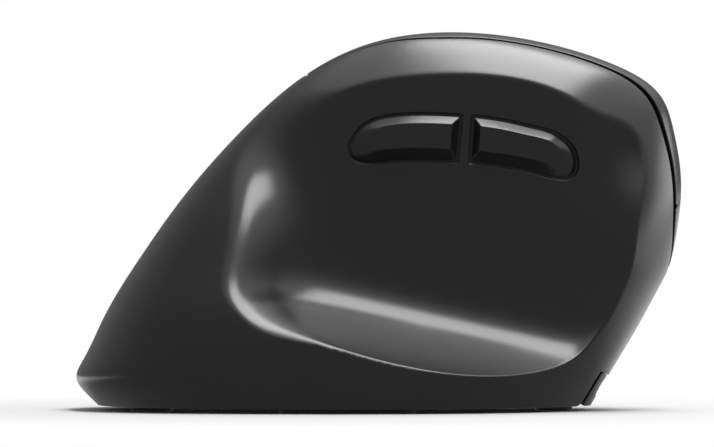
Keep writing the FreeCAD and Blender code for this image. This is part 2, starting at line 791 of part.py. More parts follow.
# Carrier that tips with the wheel when it is pressed, and the encoder on its near cheek
carrier_parts = []
carrier_bores = []
for side, word in ((-1, "near"), (1, "far")):
    inner = "cheek_near_s" if side > 0 else "-cheek_near_s - cheek_wall"
    carrier_parts.append(block("carrier_cheek_" + word, "wheel_x - pivot_x + 6, cheek_wall, carrier_top_n - carrier_floor_n",
                               "pivot_x - 2.5, %s, carrier_floor_n" % inner))
    pin = "cheek_near_s + cheek_wall" if side > 0 else "-cheek_near_s - cheek_wall - trunnion_length"
    carrier_parts.append(rod("carrier_pin_" + word, "pivot_radius", "trunnion_length",
                             "pivot_x, %s, pivot_n" % pin, "y"))
carrier_parts.append(block("carrier_bridge", "5.5, 2*cheek_near_s, 2",
                           "pivot_x - 2.5, -cheek_near_s, carrier_floor_n"))
carrier_parts.append(block("carrier_tab", "4, 3.2, 1.5", "pivot_x + 5, cheek_near_s + 0.4, carrier_floor_n"))
axle_bore = rod("axle_bore", "axle_radius + running_gap", "4*cheek_near_s", "wheel_x, -2*cheek_near_s, wheel_n", "y")
piece("wheel_carrier", carved("carrier_body", joined("carrier_blank", carrier_parts), [axle_bore]), slope_place)
rotor_bore = rod("rotor_bore", "rotor_radius + running_gap", "encoder_wall + 2",
                 "wheel_x, -(%s) - 1, wheel_n" % axle_start, "y")
encoder_blank = block("encoder_blank", "encoder_width, encoder_wall, encoder_width",
                      "wheel_x - encoder_width/2, -(%s), wheel_n - encoder_width/2" % axle_start)
piece("encoder", carved("encoder_body", encoder_blank, [rotor_bore]), slope_place)

# Button board with its switches
board_top = "button_board_n + board_wall"
board_blank = block("button_board_blank", "button_board_length, 2*button_board_reach, board_wall",
                    "button_board_rear_x, -button_board_reach, button_board_n")
notch = block("board_notch_cut", "60, 2*board_notch, 6", "wheel_x - wheel_radius - 1.2, -board_notch, button_board_n - 2")
board_holes = [notch]
for side, word in ((-1, "near"), (1, "far")):
    s = "cheek_near_s + cheek_wall + 0.2" if side > 0 else "-cheek_near_s - cheek_wall - 2.6"
    board_holes.append(block("pivot_hole_" + word, "5.2, 2.4, 6", "pivot_x - 2.6, %s, button_board_n - 2" % s))
STANDOFFS = [("button_board_rear_x + %s" % x, "%d*(button_board_reach - 3)" % side)
             for x in ("3", "17.5") for side in (-1, 1)]
for i, (x, s) in enumerate(STANDOFFS, start=1):
    board_holes.append(drop("button_board_hole_%d" % i, x, s, "button_board_n - 2", board_top + " + 2", "screw_radius"))
board = carved("button_board_cut", board_blank, board_holes)
button_board = shared("button_board_body", on_slope(board), room)
piece("button_board", button_board)


def micro_switch(label, x, s):
    """Micro switch with three legs' worth of body, lying along X, and the place of its plunger."""
    case = block(label + "_case", "switch_length, switch_width, switch_tall",
                 "%s - switch_length/2, %s - switch_width/2, %s" % (x, s, board_top))
    well = drop(label + "_well", x, s, switch_top + " - 1", switch_top + " + 1", "1.1 + running_gap")
    piece(label, carved(label + "_body", case, [well]), slope_place)


def tact_switch(label, x, s, width, tall):
    """Square push switch with a round well for its plunger."""
    case = block(label + "_case", "%s, %s, %s" % (width, width, tall),
                 "%s - %s/2, %s - %s/2, %s" % (x, width, s, width, board_top))
    well = drop(label + "_well", x, s, "%s + %s - 0.8" % (board_top, tall), "%s + %s + 1" % (board_top, tall),
                "tact_plunger_radius*0.7 + running_gap")
    piece(label, carved(label + "_body", case, [well]), slope_place)


def plunger(label, x, s, low, high, radius):
    """Plunger of a switch on the button board."""
    piece(label, slope_pin(label + "_pin", x, s, low, high, radius))


for side, word in ((-1, "primary"), (1, "secondary")):
    s = "%d*key_switch_s" % side
    micro_switch(word + "_switch", "key_switch_x", s)
    plunger(word + "_plunger", "key_switch_x", s, switch_top + " - 0.1", switch_top + " + plunger_proud", "1.1")
wheel_switch_x = "pivot_x + 7"
wheel_switch_s = "cheek_near_s + small_tact_width/2 + 0.1"
tact_switch("wheel_switch", wheel_switch_x, wheel_switch_s, "small_tact_width", "small_tact_tall")
plunger("wheel_plunger", wheel_switch_x, wheel_switch_s, board_top + " + small_tact_tall - 0.3",
        "carrier_floor_n - seat_gap", "tact_plunger_radius*0.7")
tact_switch("speed_switch", "speed_x", "0", "tact_width", "tact_tall")
plunger("speed_plunger", "speed_x", "0", board_top + " + tact_tall - 0.2", speed_plunger_top,
        "tact_plunger_radius*0.7")

# Frame under the button board: it carries the keys' hinges, the wheel's pivots and the strip's posts
frame_top = "button_board_n - standoff"
plate = carved("frame_plate", block("frame_blank", "frame_length, frame_low_s - frame_top_s, frame_wall",
                                    "frame_rear_x, frame_top_s, %s - frame_wall" % frame_top),
               [block("frame_window", "2*wheel_radius + 2.4, 2*board_notch, 10",
                      "wheel_x - wheel_radius - 1.2, -board_notch, button_board_n - 6")])
lugs = []
bores = []
for side in (-1, 1):
    for inner, word in (("hinge_near_s - trunnion_length - 0.2", "inner"),
                        ("hinge_near_s + hinge_width + 0.2", "outer")):
        s = inner if side > 0 else "-(%s) - trunnion_length" % inner
        tag = "%s_%s" % (word, "far" if side > 0 else "near")
        lugs.append(block("hinge_lug_" + tag, "5.6, trunnion_length, hinge_n - button_board_n + standoff + 2.2",
                          "hinge_x - 2.8, %s, %s - 0.2" % (s, frame_top)))
    s = "cheek_near_s + cheek_wall + 0.3" if side > 0 else "-cheek_near_s - cheek_wall - 2.1"
    lugs.append(block("pivot_lug_%s" % ("far" if side > 0 else "near"),
                      "4.6, 1.8, pivot_n - button_board_n + standoff + 2", "pivot_x - 2.3, %s, %s - 0.2" % (s, frame_top)))
bores.append(rod("hinge_bore", "trunnion_radius + running_gap", "80", "hinge_x, -40, hinge_n", "y"))
bores.append(rod("pivot_bore", "pivot_radius + running_gap", "40", "pivot_x, -20, pivot_n", "y"))
for x, word in (("strip_post_x", "rear"), ("strip_nose_post_x", "nose")):
    lugs.append(drop("strip_%s_post" % word, x, "0", frame_top + " - 0.2", "2", "strip_post_radius"))
    bores.append(drop("strip_%s_bore" % word, x, "0", frame_top + " + 0.4", "6", "strip_peg_radius + running_gap"))
for i, (x, s) in enumerate(STANDOFFS, start=1):
    lugs.append(drop("standoff_%d" % i, x, s, frame_top + " - 0.2", "button_board_n", "standoff_radius"))
    bores.append(drop("standoff_pilot_%d" % i, x, s, frame_top + " - frame_wall - 1", "button_board_n + 1",
                      "screw_radius"))
legs = []
LEGS = [("rear_leg_x", "low_leg_y"), ("rear_leg_x", "high_leg_y"), ("front_leg_x", "low_leg_y")]
below_plate = on_slope(slab("below_plate", "XY_Plane", [("-150", "-150", 0), ("150", "-150", 0), ("150", "150", 0),
                                                        ("-150", "150", 0)], "200", value_of(frame_top) - 200.4))
base_top = "ground_gap + base_wall"
for i, (x, y) in enumerate(LEGS, start=1):
    legs.append(rod("leg_%d" % i, "leg_radius", "body_height", "%s, %s, %s" % (x, y, base_top)))
pilots = [rod("leg_pilot_%d" % i, "screw_radius", "8", "%s, %s, %s" % (x, y, base_top))
          for i, (x, y) in enumerate(LEGS, start=1)]
legs = carved("frame_legs_drilled", shared("frame_legs", joined("leg_rods", legs), below_plate), pilots)
top_frame = on_slope(carved("frame_lugs_cut", joined("frame_lugs", [plate] + lugs), bores))
piece("button_frame", joined("frame_body", [shared("frame_trim", top_frame, room), legs]))


def screw(label, start, length, place=None, down=False):
    """Small pan-head screw along Z, with its head at the foot, or at the top when it points down."""
    x, y, z = [term.strip() for term in start.split(",")]
    if down:
        head = rod(label + "_head", "screw_head_radius", "screw_head_wall", "%s, %s, %s" % (x, y, z))
        shaft = rod(label + "_shaft", "screw_radius", length, "%s, %s, %s - (%s)" % (x, y, z, length))
    else:
        head = rod(label + "_head", "screw_head_radius", "screw_head_wall", "%s, %s, %s" % (x, y, z))
        shaft = rod(label + "_shaft", "screw_radius", "%s + screw_head_wall" % length, "%s, %s, %s" % (x, y, z))
    return piece(label, joined(label + "_body", [head, shaft]), place)


for i, (x, s) in enumerate((STANDOFFS[0], STANDOFFS[3]), start=1):
    screw("board_screw_%d" % i, "%s, %s, %s" % (x, s, board_top), "board_wall + standoff", slope_place, down=True)

# Thumb buttons, their openings and the board behind them
REAR_CAP = [("side_rear_x", "side_low_z", 0), ("side_split_x - side_post/2 - 1", "side_low_z", 0),
            ("side_split_x - side_post/2", "side_top_z", -0.5), ("side_rear_x + 5.6", "side_top_z - 0.4", 0)]
NOSE_CAP = [("side_split_x + side_post/2 - 0.5", "side_low_z", 0.3), ("side_nose_x", "side_nose_low_z", 0),
            ("side_nose_x - 4.4", "side_nose_top_z", 0.7), ("side_split_x + side_post/2", "side_top_z", 0)]


def grown(corners, growth):
    """Outline moved out on every side by a growth; its corners run counter-clockwise."""
    spots = [Vector(value_of(x), value_of(y), 0) for x, y, _ in corners]
    out = []
    for i, (x, y, bulge) in enumerate(corners):
        here = spots[i]
        back = (here - spots[i - 1]).normalize()
        ahead = (spots[(i + 1) % len(spots)] - here).normalize()
        left, right = Vector(back.y, -back.x, 0), Vector(ahead.y, -ahead.x, 0)
        shift = (left + right) * (1 / (1 + left.dot(right)))
        out.append(("%s + (%s)*%r" % (x, growth, shift.x), "%s + (%s)*%r" % (y, growth, shift.y), bulge))
    return out


def side_prism(name, corners, thickness, lift, rounding):
    """Pad from a plane behind the panel towards the thumb, with rounded upright edges."""
    body = slab(name, "XZ_Plane", corners, thickness, lift)
    rounded(body, rounding, lambda edge: abs(edge.tangentAt(edge.FirstParameter).y) > 0.99)
    return body


cap_holes = []
cap_inner = "scoop_depth - shell_wall + 0.1"
cap_lift = value_of(cap_inner)
cap_depth = "shell_wall + 1.5 + side_proud"
for label, corners, rounding in (("back_button", REAR_CAP, "1.9"), ("forward_button", NOSE_CAP, "1.9")):
    cap = side_prism(label + "_cap", corners, cap_depth, cap_lift, rounding)
    face_y = -cap_lift - value_of(cap_depth)
    beveled(cap, "side_bevel", lambda edge: all(abs(v.Point.y - face_y) < 1e-3 for v in edge.Vertexes))
    flange = side_prism(label + "_flange", grown(corners, "side_flange"), "side_flange_wall", cap_lift, rounding)
    x = "(side_rear_x + side_split_x)/2" if label == "back_button" else "side_split_x + 10.5"
    stem = rod(label + "_stem", "pusher_radius",
               cap_inner + " + 0.5 + side_board_y - tact_tall - 0.7 - seat_gap",
               "%s, -(%s) - 0.5, (side_top_z + side_low_z)/2" % (x, cap_inner), "y")
    piece(label, joined(label + "_body", [cap, flange, stem]))
    cap_holes.append(side_prism(label + "_hole", grown(corners, "cap_gap"), "40", cap_lift - 4, rounding))
    tact = label.replace("button", "switch")
    face = "side_board_y - tact_tall"
    case = block(tact + "_case", "tact_width, tact_tall, tact_width",
                 "%s - tact_width/2, %s, (side_top_z + side_low_z - tact_width)/2" % (x, face))
    well = rod(tact + "_well", "tact_plunger_radius + running_gap", "2",
               "%s, %s - 1.2, (side_top_z + side_low_z)/2" % (x, face), "y")
    piece(tact, carved(tact + "_body", case, [well]))
    piece(label.replace("button", "plunger"),
          rod(tact + "_plunger_pin", "tact_plunger_radius", "0.8",
              "%s, %s - 0.7, (side_top_z + side_low_z)/2" % (x, face), "y"))

side_posts = []
for i, x in enumerate(("side_rear_x + 8", "side_nose_x - 11"), start=1):
    side_posts.append(rod("side_post_%d" % i, "side_post_radius", "scoop_depth - shell_wall/2 + side_board_y + 2",
                          "%s, -scoop_depth + shell_wall/2 - 2, side_post_z" % x, "y"))
    start = Placement(Vector(value_of(x), size("side_board_y") + size("side_board_wall"), size("side_post_z")),
                      Rotation(Vector(1, 0, 0), -90))
    screw("side_board_screw_%d" % i, "0, 0, 0", "side_board_wall + 3", start, down=True)
board_holes = [rod("side_board_hole_%d" % i, "screw_radius", "10", "%s, side_board_y - 5, side_post_z" % x, "y")
               for i, x in enumerate(("side_rear_x + 8", "side_nose_x - 11"), start=1)]
side_board_blank = block("side_board_blank", "side_nose_x - side_rear_x - 7, side_board_wall, side_top_z - side_post_z + 1",
                         "side_rear_x + 4.5, side_board_y, side_post_z - 2.6")
piece("side_board", carved("side_board_body", side_board_blank, board_holes))


# Outer shells
side_posts = shared("side_posts_cut", joined("side_post_rods", side_posts), body_form)
boss_parts = {"thumb": [], "palm": []}
base_screws = []
for side, x, form in (("thumb", "-34", thumb_y), ("thumb", "24", thumb_y), ("palm", "-34", finger_y),
                      ("palm", "24", finger_y)):
    way = -1 if side == "thumb" else 1
    edge = form(float(x), 1.0)
    y = edge - way * (wall + size("shell_boss_radius") + 0.3)
    name = "shell_boss_%d" % (len(base_screws) + 1)
    boss = rod(name, "shell_boss_radius", "shell_boss_top - (%s)" % base_top, "%s, %r, %s" % (x, y, base_top))
    web = block(name + "_web", "1.8, %r, shell_boss_top - (%s)" % (abs(edge - y) + 4, base_top),
                "%s - 0.9, %r, %s" % (x, y if way > 0 else edge - 4, base_top))
    pilot = rod(name + "_pilot", "screw_radius", "shell_boss_top", "%s, %r, 0" % (x, y))
    boss_parts[side].append(carved(name + "_whole", joined(name + "_both", [boss, web]), [pilot]))
    base_screws.append((x, repr(y)))
port_x = FRONT(depth_share(size("port_top_z"))) * size("body_length")
port_low_x = FRONT(depth_share(size("ground_gap"))) * size("body_length")
port_y = middle_y(port_x)
chin_angle = math.degrees(math.atan2(port_x - port_low_x, size("port_top_z") - size("ground_gap")))


def port_block(name, inset, gap):
    """Slanted block that takes the port's bezel out of the chin."""
    box = doc.addObject("Part::Box", name)
    tall = "port_top_z + 6 + %r" % gap
    box.Length = 30
    box.Width = 60
    bind(box, "Height", tall)
    turn = Rotation(Vector(0, 1, 0), chin_angle)
    top = Vector(port_x - inset, port_y - 30, size("port_top_z") + gap)
    box.Placement = Placement(top - turn.multVec(Vector(0, 0, value_of(tall))), turn)
    return box


port_cut = port_block("port_cut", size("port_depth") + size("seat_gap"), size("seat_gap"))
thumb_half = carved("thumb_half", shared("thumb_part", shell, thumb_side), cap_holes + [port_cut])
thumb_bosses = [shared("thumb_bosses_cut", joined("thumb_boss_set", boss_parts["thumb"]), body_form), side_posts]
side_pilots = [rod("side_pilot_%d" % i, "screw_radius", "6", "%s, side_board_y - 5, side_post_z" % x, "y")
               for i, x in enumerate(("side_rear_x + 8", "side_nose_x - 11"), start=1)]
piece("thumb_shell", carved("thumb_shell_body", joined("thumb_whole", [thumb_half] + thumb_bosses), side_pilots))
field = slope_prism("key_field", KEY_FIELD)
palm_half = carved("palm_half", shared("palm_part", shell, palm_side), [field, port_cut])
palm_bosses = shared("palm_bosses_cut", joined("palm_boss_set", boss_parts["palm"]), body_form)
piece("palm_cover", joined("palm_body", [palm_half, palm_bosses]))

bezel_blank = shared("bezel_blank", port_block("port_fill", size("port_depth"), 0.0), body_form)
mouth_z = "main_board_level - socket_tall/2"
mouth = block("port_mouth", "40, port_mouth_width, port_mouth_tall",
              "0, %r - port_mouth_width/2, %s - port_mouth_tall/2" % (port_y, mouth_z))
piece("port_bezel", carved("bezel_body", bezel_blank, [mouth]))

# Base plate with its feet
base_skin = held("base_skin", closed_form(wall + 2 * size("seat_gap")))
base_slab = block("base_slab", "3*body_length, 3*body_length, base_wall",
                  "-1.5*body_length, -1.5*body_length, ground_gap")
base_blank = shared("base_blank", base_skin, base_slab)
FEET = [("front_foot", "34", "0.5", "foot_width - 1", "foot_length - 9"), ("rear_foot", "-44", "3", "foot_width", "foot_length + 4"),
        ("thumb_side_foot", "-6", "-27", "foot_length", "foot_width"),
        ("finger_side_foot", "-6", "29", "foot_length", "foot_width")]
base_cuts = []
for label, x, y, length, width in FEET:
    piece(label, racetrack(label + "_pad", (x, y), length, width, "foot_wall"))
    base_cuts.append(racetrack(label + "_recess", (x, y), length + " + 2*seat_gap", width + " + 2*seat_gap",
                               "foot_wall"))
sensor_y = middle_y(size("sensor_x"))
base_cuts.append(block("lens_window", "window_length, window_width, 9",
                       "sensor_x - window_length/2, %r - window_width/2, 0" % sensor_y))
base_cuts.append(block("power_slot", "3 + power_travel + 2*running_gap, 3 + 2*running_gap, 9",
                       "power_x - (3 + power_travel)/2 - running_gap, power_y - 1.5 - running_gap, 0"))
base_cuts.append(port_cut)
for i, (x, y) in enumerate(base_screws + LEGS, start=1):
    base_cuts.append(rod("screw_hole_%d" % i, "screw_radius + 2*running_gap", "9", "%s, %s, 0" % (x, y)))
    base_cuts.append(rod("screw_seat_%d" % i, "screw_head_radius + 0.2", "ground_gap + 1.3", "%s, %s, 0" % (x, y)))
stands = []
BOARD_SCREWS = [("-2", "15"), ("-2", "-15"), ("21", "-14.5"), ("20", "15.5")]
for i, (x, y) in enumerate(BOARD_SCREWS, start=1):
    stands.append(rod("board_stand_%d" % i, "2.4", "main_board_level - (%s) + 0.5" % base_top,
                      "%s, %s, %s - 0.5" % (x, y, base_top)))
base_pilots = [rod("stand_pilot_%d" % i, "screw_radius", "12", "%s, %s, main_board_level - 3" % (x, y))
               for i, (x, y) in enumerate(BOARD_SCREWS, start=1)]
pocket = [block("battery_wall_%d" % i, "battery_length + 3, 1.2, 5",
                "battery_rear_x - 1.5, %s, %s - 0.5" % (y, base_top))
          for i, y in enumerate(("-battery_width/2 - 1.5", "battery_width/2 + 0.3"), start=1)]
base_whole = joined("base_whole", [carved("base_drilled", base_blank, base_cuts)] + stands + pocket)
piece("base_plate", carved("base_body", base_whole, base_pilots))

# Main board and what it carries
nose = "main_board_nose/2"
half = "main_board_width/2"
board_rear, board_nose = "main_board_rear_x", "main_board_rear_x + main_board_length"
main_blank = slab("main_board_pad", "XY_Plane",
                  [(board_rear, "-" + half, 0), (board_nose + " - 13", "-" + half, 0), (board_nose, "-" + nose, 0),
                   (board_nose, nose, 0), (board_nose + " - 13", half, 0), (board_rear, half, 0)],
                  "board_wall", value_of("main_board_level"))
main_holes = [rod("main_board_hole_%d" % i, "screw_radius", "20", "%s, %s, 0" % (x, y))
              for i, (x, y) in enumerate(BOARD_SCREWS, start=1)]
main_holes.append(rod("leg_hole", "leg_radius + 0.4", "20", "front_leg_x, low_leg_y, 0"))
main_holes.append(block("sensor_hole", "5, 4, 20", "sensor_x - 2.5, %r - 2, 0" % sensor_y))
piece("main_board", carved("main_board_body", main_blank, main_holes))
for i, (x, y) in enumerate((BOARD_SCREWS[0], BOARD_SCREWS[2]), start=1):
    screw("main_board_screw_%d" % i, "%s, %s, main_board_level + board_wall" % (x, y), "board_wall + 3", down=True)
for i, (x, y) in enumerate(base_screws, start=1):
    screw("base_screw_%d" % i, "%s, %s, ground_gap + 0.2" % (x, y), "5.5")
for i, (x, y) in enumerate(LEGS, start=1):
    screw("frame_screw_%d" % i, "%s, %s, ground_gap + 0.2" % (x, y), "5.5")
piece("sensor", block("sensor_case", "sensor_length, sensor_width, sensor_tall",
                      "sensor_x - sensor_length/2, %r - sensor_width/2, main_board_level + board_wall" % sensor_y))
lens_plate = block("lens_plate", "lens_length, lens_width, 1.4",
                   "sensor_x - lens_length/2, %r - lens_width/2, main_board_level - 1.4 - seat_gap" % sensor_y)
lens_foot = block("lens_foot", "window_length - 2, window_width - 1, main_board_level - 2",
                  "sensor_x - window_length/2 + 1, %r - window_width/2 + 0.5, 1.6" % sensor_y)
piece("lens", joined("lens_body", [lens_plate, lens_foot]))
socket_x = port_low_x - size("port_depth") - size("seat_gap") + 0.7
shell_box = block("socket_case", "socket_length, socket_width, socket_tall",
                  "%r - socket_length, %r - socket_width/2, main_board_level - socket_tall" % (socket_x, port_y))
socket_space = block("socket_space", "socket_length - 1.4, socket_width - 2*socket_wall, socket_tall - 2*socket_wall",
                     "%r - socket_length + 1.5, %r - socket_width/2 + socket_wall, main_board_level - socket_tall + socket_wall"
                     % (socket_x, port_y))
tongue = block("socket_tongue", "socket_length - 2.2, 6.2, 0.7",
               "%r - socket_length + 1, %r - 3.1, main_board_level - socket_tall/2 - 0.35" % (socket_x, port_y))
piece("charge_socket", joined("socket_body", [carved("socket_shell", shell_box, [socket_space]), tongue]))
piece("battery_pad", block("battery_pad_block", "battery_length - 2, battery_width - 2, battery_pad_wall",
                           "battery_rear_x + 1, -battery_width/2 + 1, %s" % base_top))
battery = slab("battery_pouch", "XY_Plane",
               [("battery_rear_x + (%d)*battery_length" % i, "(%s)*battery_width" % j, 0)
                for i, j in ((0, "-0.5"), (1, "-0.5"), (1, "0.5"), (0, "0.5"))],
               "battery_tall", value_of(base_top + " + battery_pad_wall"))
rounded(battery, "1.2", lambda edge: True)
piece("battery", battery)
knob = joined("power_knob", [block("power_stub", "3, 3, main_board_level - 2 - 1.5 - (ground_gap + 0.3)",
                                   "power_x - power_travel/2 - 1.5, power_y - 1.5, ground_gap + 0.3"),
                             block("power_neck", "1.6, 1.4, 2",
                                   "power_x - power_travel/2 - 0.8, power_y - 0.7, main_board_level - 3.9")])
piece("power_slider", knob)
power_case = block("power_case", "8.6, 3.6, 2.0", "power_x - 4.3, power_y - 1.8, main_board_level - 2")
power_well = block("power_well", "1.6 + power_travel + 0.2, 1.6, 1.6",
                   "power_x - 0.9 - power_travel/2, power_y - 0.8, main_board_level - 2.2")
piece("power_switch", carved("power_body", power_case, [power_well]))

doc.recompute()
faults = [thing.Name for thing in doc.Objects if "Invalid" in thing.State or "Error" in thing.State]
faults += ["%s (%d solids)" % (thing.Label, len(thing.Shape.Solids)) for thing in PIECES
           if thing.Shape.isNull() or not thing.Shape.isValid() or len(thing.Shape.Solids) != 1]
if faults:
    raise RuntimeError("Failed: " + ", ".join(faults))
os.makedirs("parts", exist_ok=True)
for thing in PIECES:
    thing.Shape.exportStep("parts/%s.step" % thing.Label)
    print(thing.Label, round(thing.Shape.Volume, 1))
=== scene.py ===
"""Looks of a left-handed upright computer mouse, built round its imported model.

The housing's form is worked out in millimetres on a chart of two numbers: an angle about a pivot under the
mouse, and a share from the thumb side's foot (-1) over the ridge (0) to the finger side's foot (1). Each
moulded piece is the part of that chart where a field is positive, filled with triangles and given a rolled
edge and a wall.
"""
import json
import math
import bmesh
import bpy
import numpy as np
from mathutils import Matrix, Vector, geometry, kdtree
from bpy.props import FloatProperty, FloatVectorProperty, IntProperty, PointerProperty


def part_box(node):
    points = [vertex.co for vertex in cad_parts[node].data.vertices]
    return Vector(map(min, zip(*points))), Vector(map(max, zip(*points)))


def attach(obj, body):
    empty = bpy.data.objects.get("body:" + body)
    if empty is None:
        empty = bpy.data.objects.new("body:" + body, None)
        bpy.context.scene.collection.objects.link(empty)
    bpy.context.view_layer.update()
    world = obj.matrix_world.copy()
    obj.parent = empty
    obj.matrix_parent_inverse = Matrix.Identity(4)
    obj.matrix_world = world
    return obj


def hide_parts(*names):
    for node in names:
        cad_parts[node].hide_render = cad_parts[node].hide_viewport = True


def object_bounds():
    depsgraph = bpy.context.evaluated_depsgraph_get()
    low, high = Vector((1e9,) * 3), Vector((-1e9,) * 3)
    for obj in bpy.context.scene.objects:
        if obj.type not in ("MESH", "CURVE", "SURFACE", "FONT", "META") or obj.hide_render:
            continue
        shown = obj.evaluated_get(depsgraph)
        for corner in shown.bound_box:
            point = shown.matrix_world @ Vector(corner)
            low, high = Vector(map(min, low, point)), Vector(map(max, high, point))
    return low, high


bl_info = {
    "name": "Upright Mouse Looks",
    "version": (1, 0, 0),
    "blender": (4, 5, 0),
    "location": "View3D > Sidebar > Mouse",
    "description": "Moulded shells, keys, trim and studio of an upright computer mouse",
    "category": "Object",
}

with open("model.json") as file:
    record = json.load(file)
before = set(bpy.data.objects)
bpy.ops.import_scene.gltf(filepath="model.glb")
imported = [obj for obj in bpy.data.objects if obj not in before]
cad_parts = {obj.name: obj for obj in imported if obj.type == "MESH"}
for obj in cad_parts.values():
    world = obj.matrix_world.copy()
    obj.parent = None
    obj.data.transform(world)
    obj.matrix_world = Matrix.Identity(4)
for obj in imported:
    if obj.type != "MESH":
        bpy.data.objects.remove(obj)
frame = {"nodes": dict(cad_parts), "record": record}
CAD_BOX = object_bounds()
MM = 0.001


def box_mm(node):
    """Lowest and highest corners of a node, in millimetres."""
    low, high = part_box(node)
    return np.array(low) / MM, np.array(high) / MM


# Natural cubic splines through knots

def curve_through(knots):
    """Natural cubic spline through (u, value) knots, for arrays of u."""
    u, values = np.array(knots, float).T
    steps = np.diff(u)
    count = len(u)
    system = np.eye(count)
    right = np.zeros(count)
    for i in range(1, count - 1):
        system[i, i - 1:i + 2] = steps[i - 1], 2 * (steps[i - 1] + steps[i]), steps[i]
        right[i] = 6 * ((values[i + 1] - values[i]) / steps[i] - (values[i] - values[i - 1]) / steps[i - 1])
    bends = np.linalg.solve(system, right)

    def value(spot):
        spot = np.clip(spot, u[0], u[-1])
        i = np.clip(np.searchsorted(u, spot, side="right") - 1, 0, count - 2)
        past, left, step = spot - u[i], u[i + 1] - spot, steps[i]
        return ((bends[i] * left ** 3 + bends[i + 1] * past ** 3) / (6 * step)
                + (values[i] / step - bends[i] * step / 6) * left
                + (values[i + 1] / step - bends[i + 1] * step / 6) * past)
    return value


# Half outlines of the body against q, the root of the depth below the crest over the height
FRONT = curve_through([(0, .119), (.10, .211), (.20, .304), (.30, .395), (.342, .4285), (.406, .4636),
                       (.507, .4864), (.646, .4992), (.724, .4924), (.76, .4864), (.794, .4765),
                       (.826, .4602), (.888, .4237), (.945, .3847), (.993, .350), (1.06, .297)])
TAIL = curve_through([(0, .119), (.104, .035), (.195, -.0305), (.297, -.0966), (.422, -.173),
                      (.534, -.2415), (.665, -.326), (.776, -.3966), (.872, -.456), (.932, -.489),
                      (.9597, -.4992), (.975, -.487), (.9945, -.4627), (1.06, -.385)])
THUMB = curve_through([(0, 0), (.104, .114), (.19, .205), (.279, .303), (.382, .417), (.487, .523),
                       (.588, .636), (.694, .765), (.804, .891), (.884, .98), (.926, 1.0), (.965, .97),
                       (1.0, .899), (1.06, .775)])
FINGER = curve_through([(0, 0), (.104, .1145), (.199, .211), (.318, .336), (.458, .483), (.6, .644),
                        (.723, .789), (.829, .916), (.9, .987), (.937, 1.0), (.972, .9745),
                        (1.0, .924), (1.06, .78)])
# Offset of the seam between the shells from the middle, against the angle in degrees
SEAM = curve_through([(22, 10.5), (27, 8.6), (33, 4.6), (39, .4), (44, -3.6), (50, -4.9), (60, -5.0),
                      (90, -5.0), (100, -2.6), (110, .6), (120, 3.6), (130, 6.2), (142, 8.6), (162, 9.2)])
PIVOT_Z = -20.0
FLOOR_Z = -6.0
FAN = (23.5, 161.6)
# Chart units, about a millimetre each: per degree, and per share of a side
PER_DEGREE = 1.3
PER_SIDE = 115.0


def metres(name, description, default):
    """Property for a length."""
    return FloatProperty(name=name, description=description, default=default, unit="LENGTH")


def colour_of(name, description, *default):
    """Property for a colour."""
    return FloatVectorProperty(name=name, description=description, subtype="COLOR", default=default,
                               min=0, max=1)


def watts(name, description, default):
    """Property for the power of a lamp."""
    return FloatProperty(name=name, description=description, default=default, unit="POWER")


def share_of(name, description, default):
    """Property for a share from 0 to 1."""
    return FloatProperty(name=name, description=description, default=default, min=0, max=1)


class BodySizes(bpy.types.PropertyGroup):
    """Driving sizes of the housing."""
    length: metres("Length", "Length of the housing", 0.118)
    height: metres("Height", "Height of the crest above the desk", CAD_BOX[1].z)
    thumb_width: metres("Thumb side", "Half width of the thumb side", 0.0396)
    finger_width: metres("Finger side", "Half width of the finger side", 0.0393)
    wall: metres("Wall", "Thickness of the moulded shells", 0.002)
    ground_gap: metres("Ground gap", "Height of the shells' feet above the desk", 0.0008)
    scoop_depth: metres("Scoop", "Depth of the thumb panel from the middle", 0.0131)
    rest_level: metres("Rest", "Height of the thumb rest amidships", 0.0168)
    edge_roll: metres("Edge roll", "Radius of the moulded edges at the seams", 0.0002)
    crease: metres("Crease", "Softness of the scoop's crease", 0.0007)


class TrimSizes(bpy.types.PropertyGroup):
    """Driving sizes of the keys, the buttons, the strip and the wheel."""
    cap_proud: metres("Thumb button face", "Distance of the thumb buttons' faces from the middle", 0.0164)
    cap_bevel: metres("Thumb button bevel", "Depth of the thumb buttons' bevels", 0.0015)
    cap_gap: metres("Thumb button gap", "Gap round each thumb button", 0.00055)
    key_wall: metres("Key wall", "Thickness of the main keys", 0.0015)
    strip_inset: metres("Strip inset", "Depth of the centre strip below the keys", 0.0003)
    speed_rise: metres("Speed button rise", "Height of the speed button over the keys", 0.0002)
    rib_depth: metres("Rib depth", "Depth of the grooves between the wheel's ribs", 0.0005)
    rib_count: IntProperty(name="Ribs", description="Number of ribs round the wheel", default=36, min=12)


class Finishes(bpy.types.PropertyGroup):
    """Colours and gloss of the mouse."""
    shell: colour_of("Shell", "Colour of the shells and keys", 0.009, 0.009, 0.0092)
    shell_roughness: share_of("Shell roughness", "Roughness of the shells and keys", 0.23)
    thumb_keys: colour_of("Thumb buttons", "Colour of the thumb buttons", 0.009, 0.009, 0.0094)
    tyre: colour_of("Tyre", "Colour of the wheel's tyre", 0.011, 0.011, 0.011)
    board: colour_of("Boards", "Colour of the boards' lacquer", 0.008, 0.06, 0.028)


class Studio(bpy.types.PropertyGroup):
    """Lights and camera."""
    overhead_power: watts("Overhead", "Power of the overhead light", 3.4)
    front_power: watts("Front", "Power of the low light past the keys", 0.4)
    fill: share_of("Fill", "Strength of the room's own light", 0.25)
    shade: share_of("Shade", "Brightness of the room's shaded side as gloss shows it", 0.22)
    distance: metres("Camera distance", "Distance of the camera from the middle", 1.6)
    eye_level: metres("Eye level", "Height of the camera above the desk", 0.036)


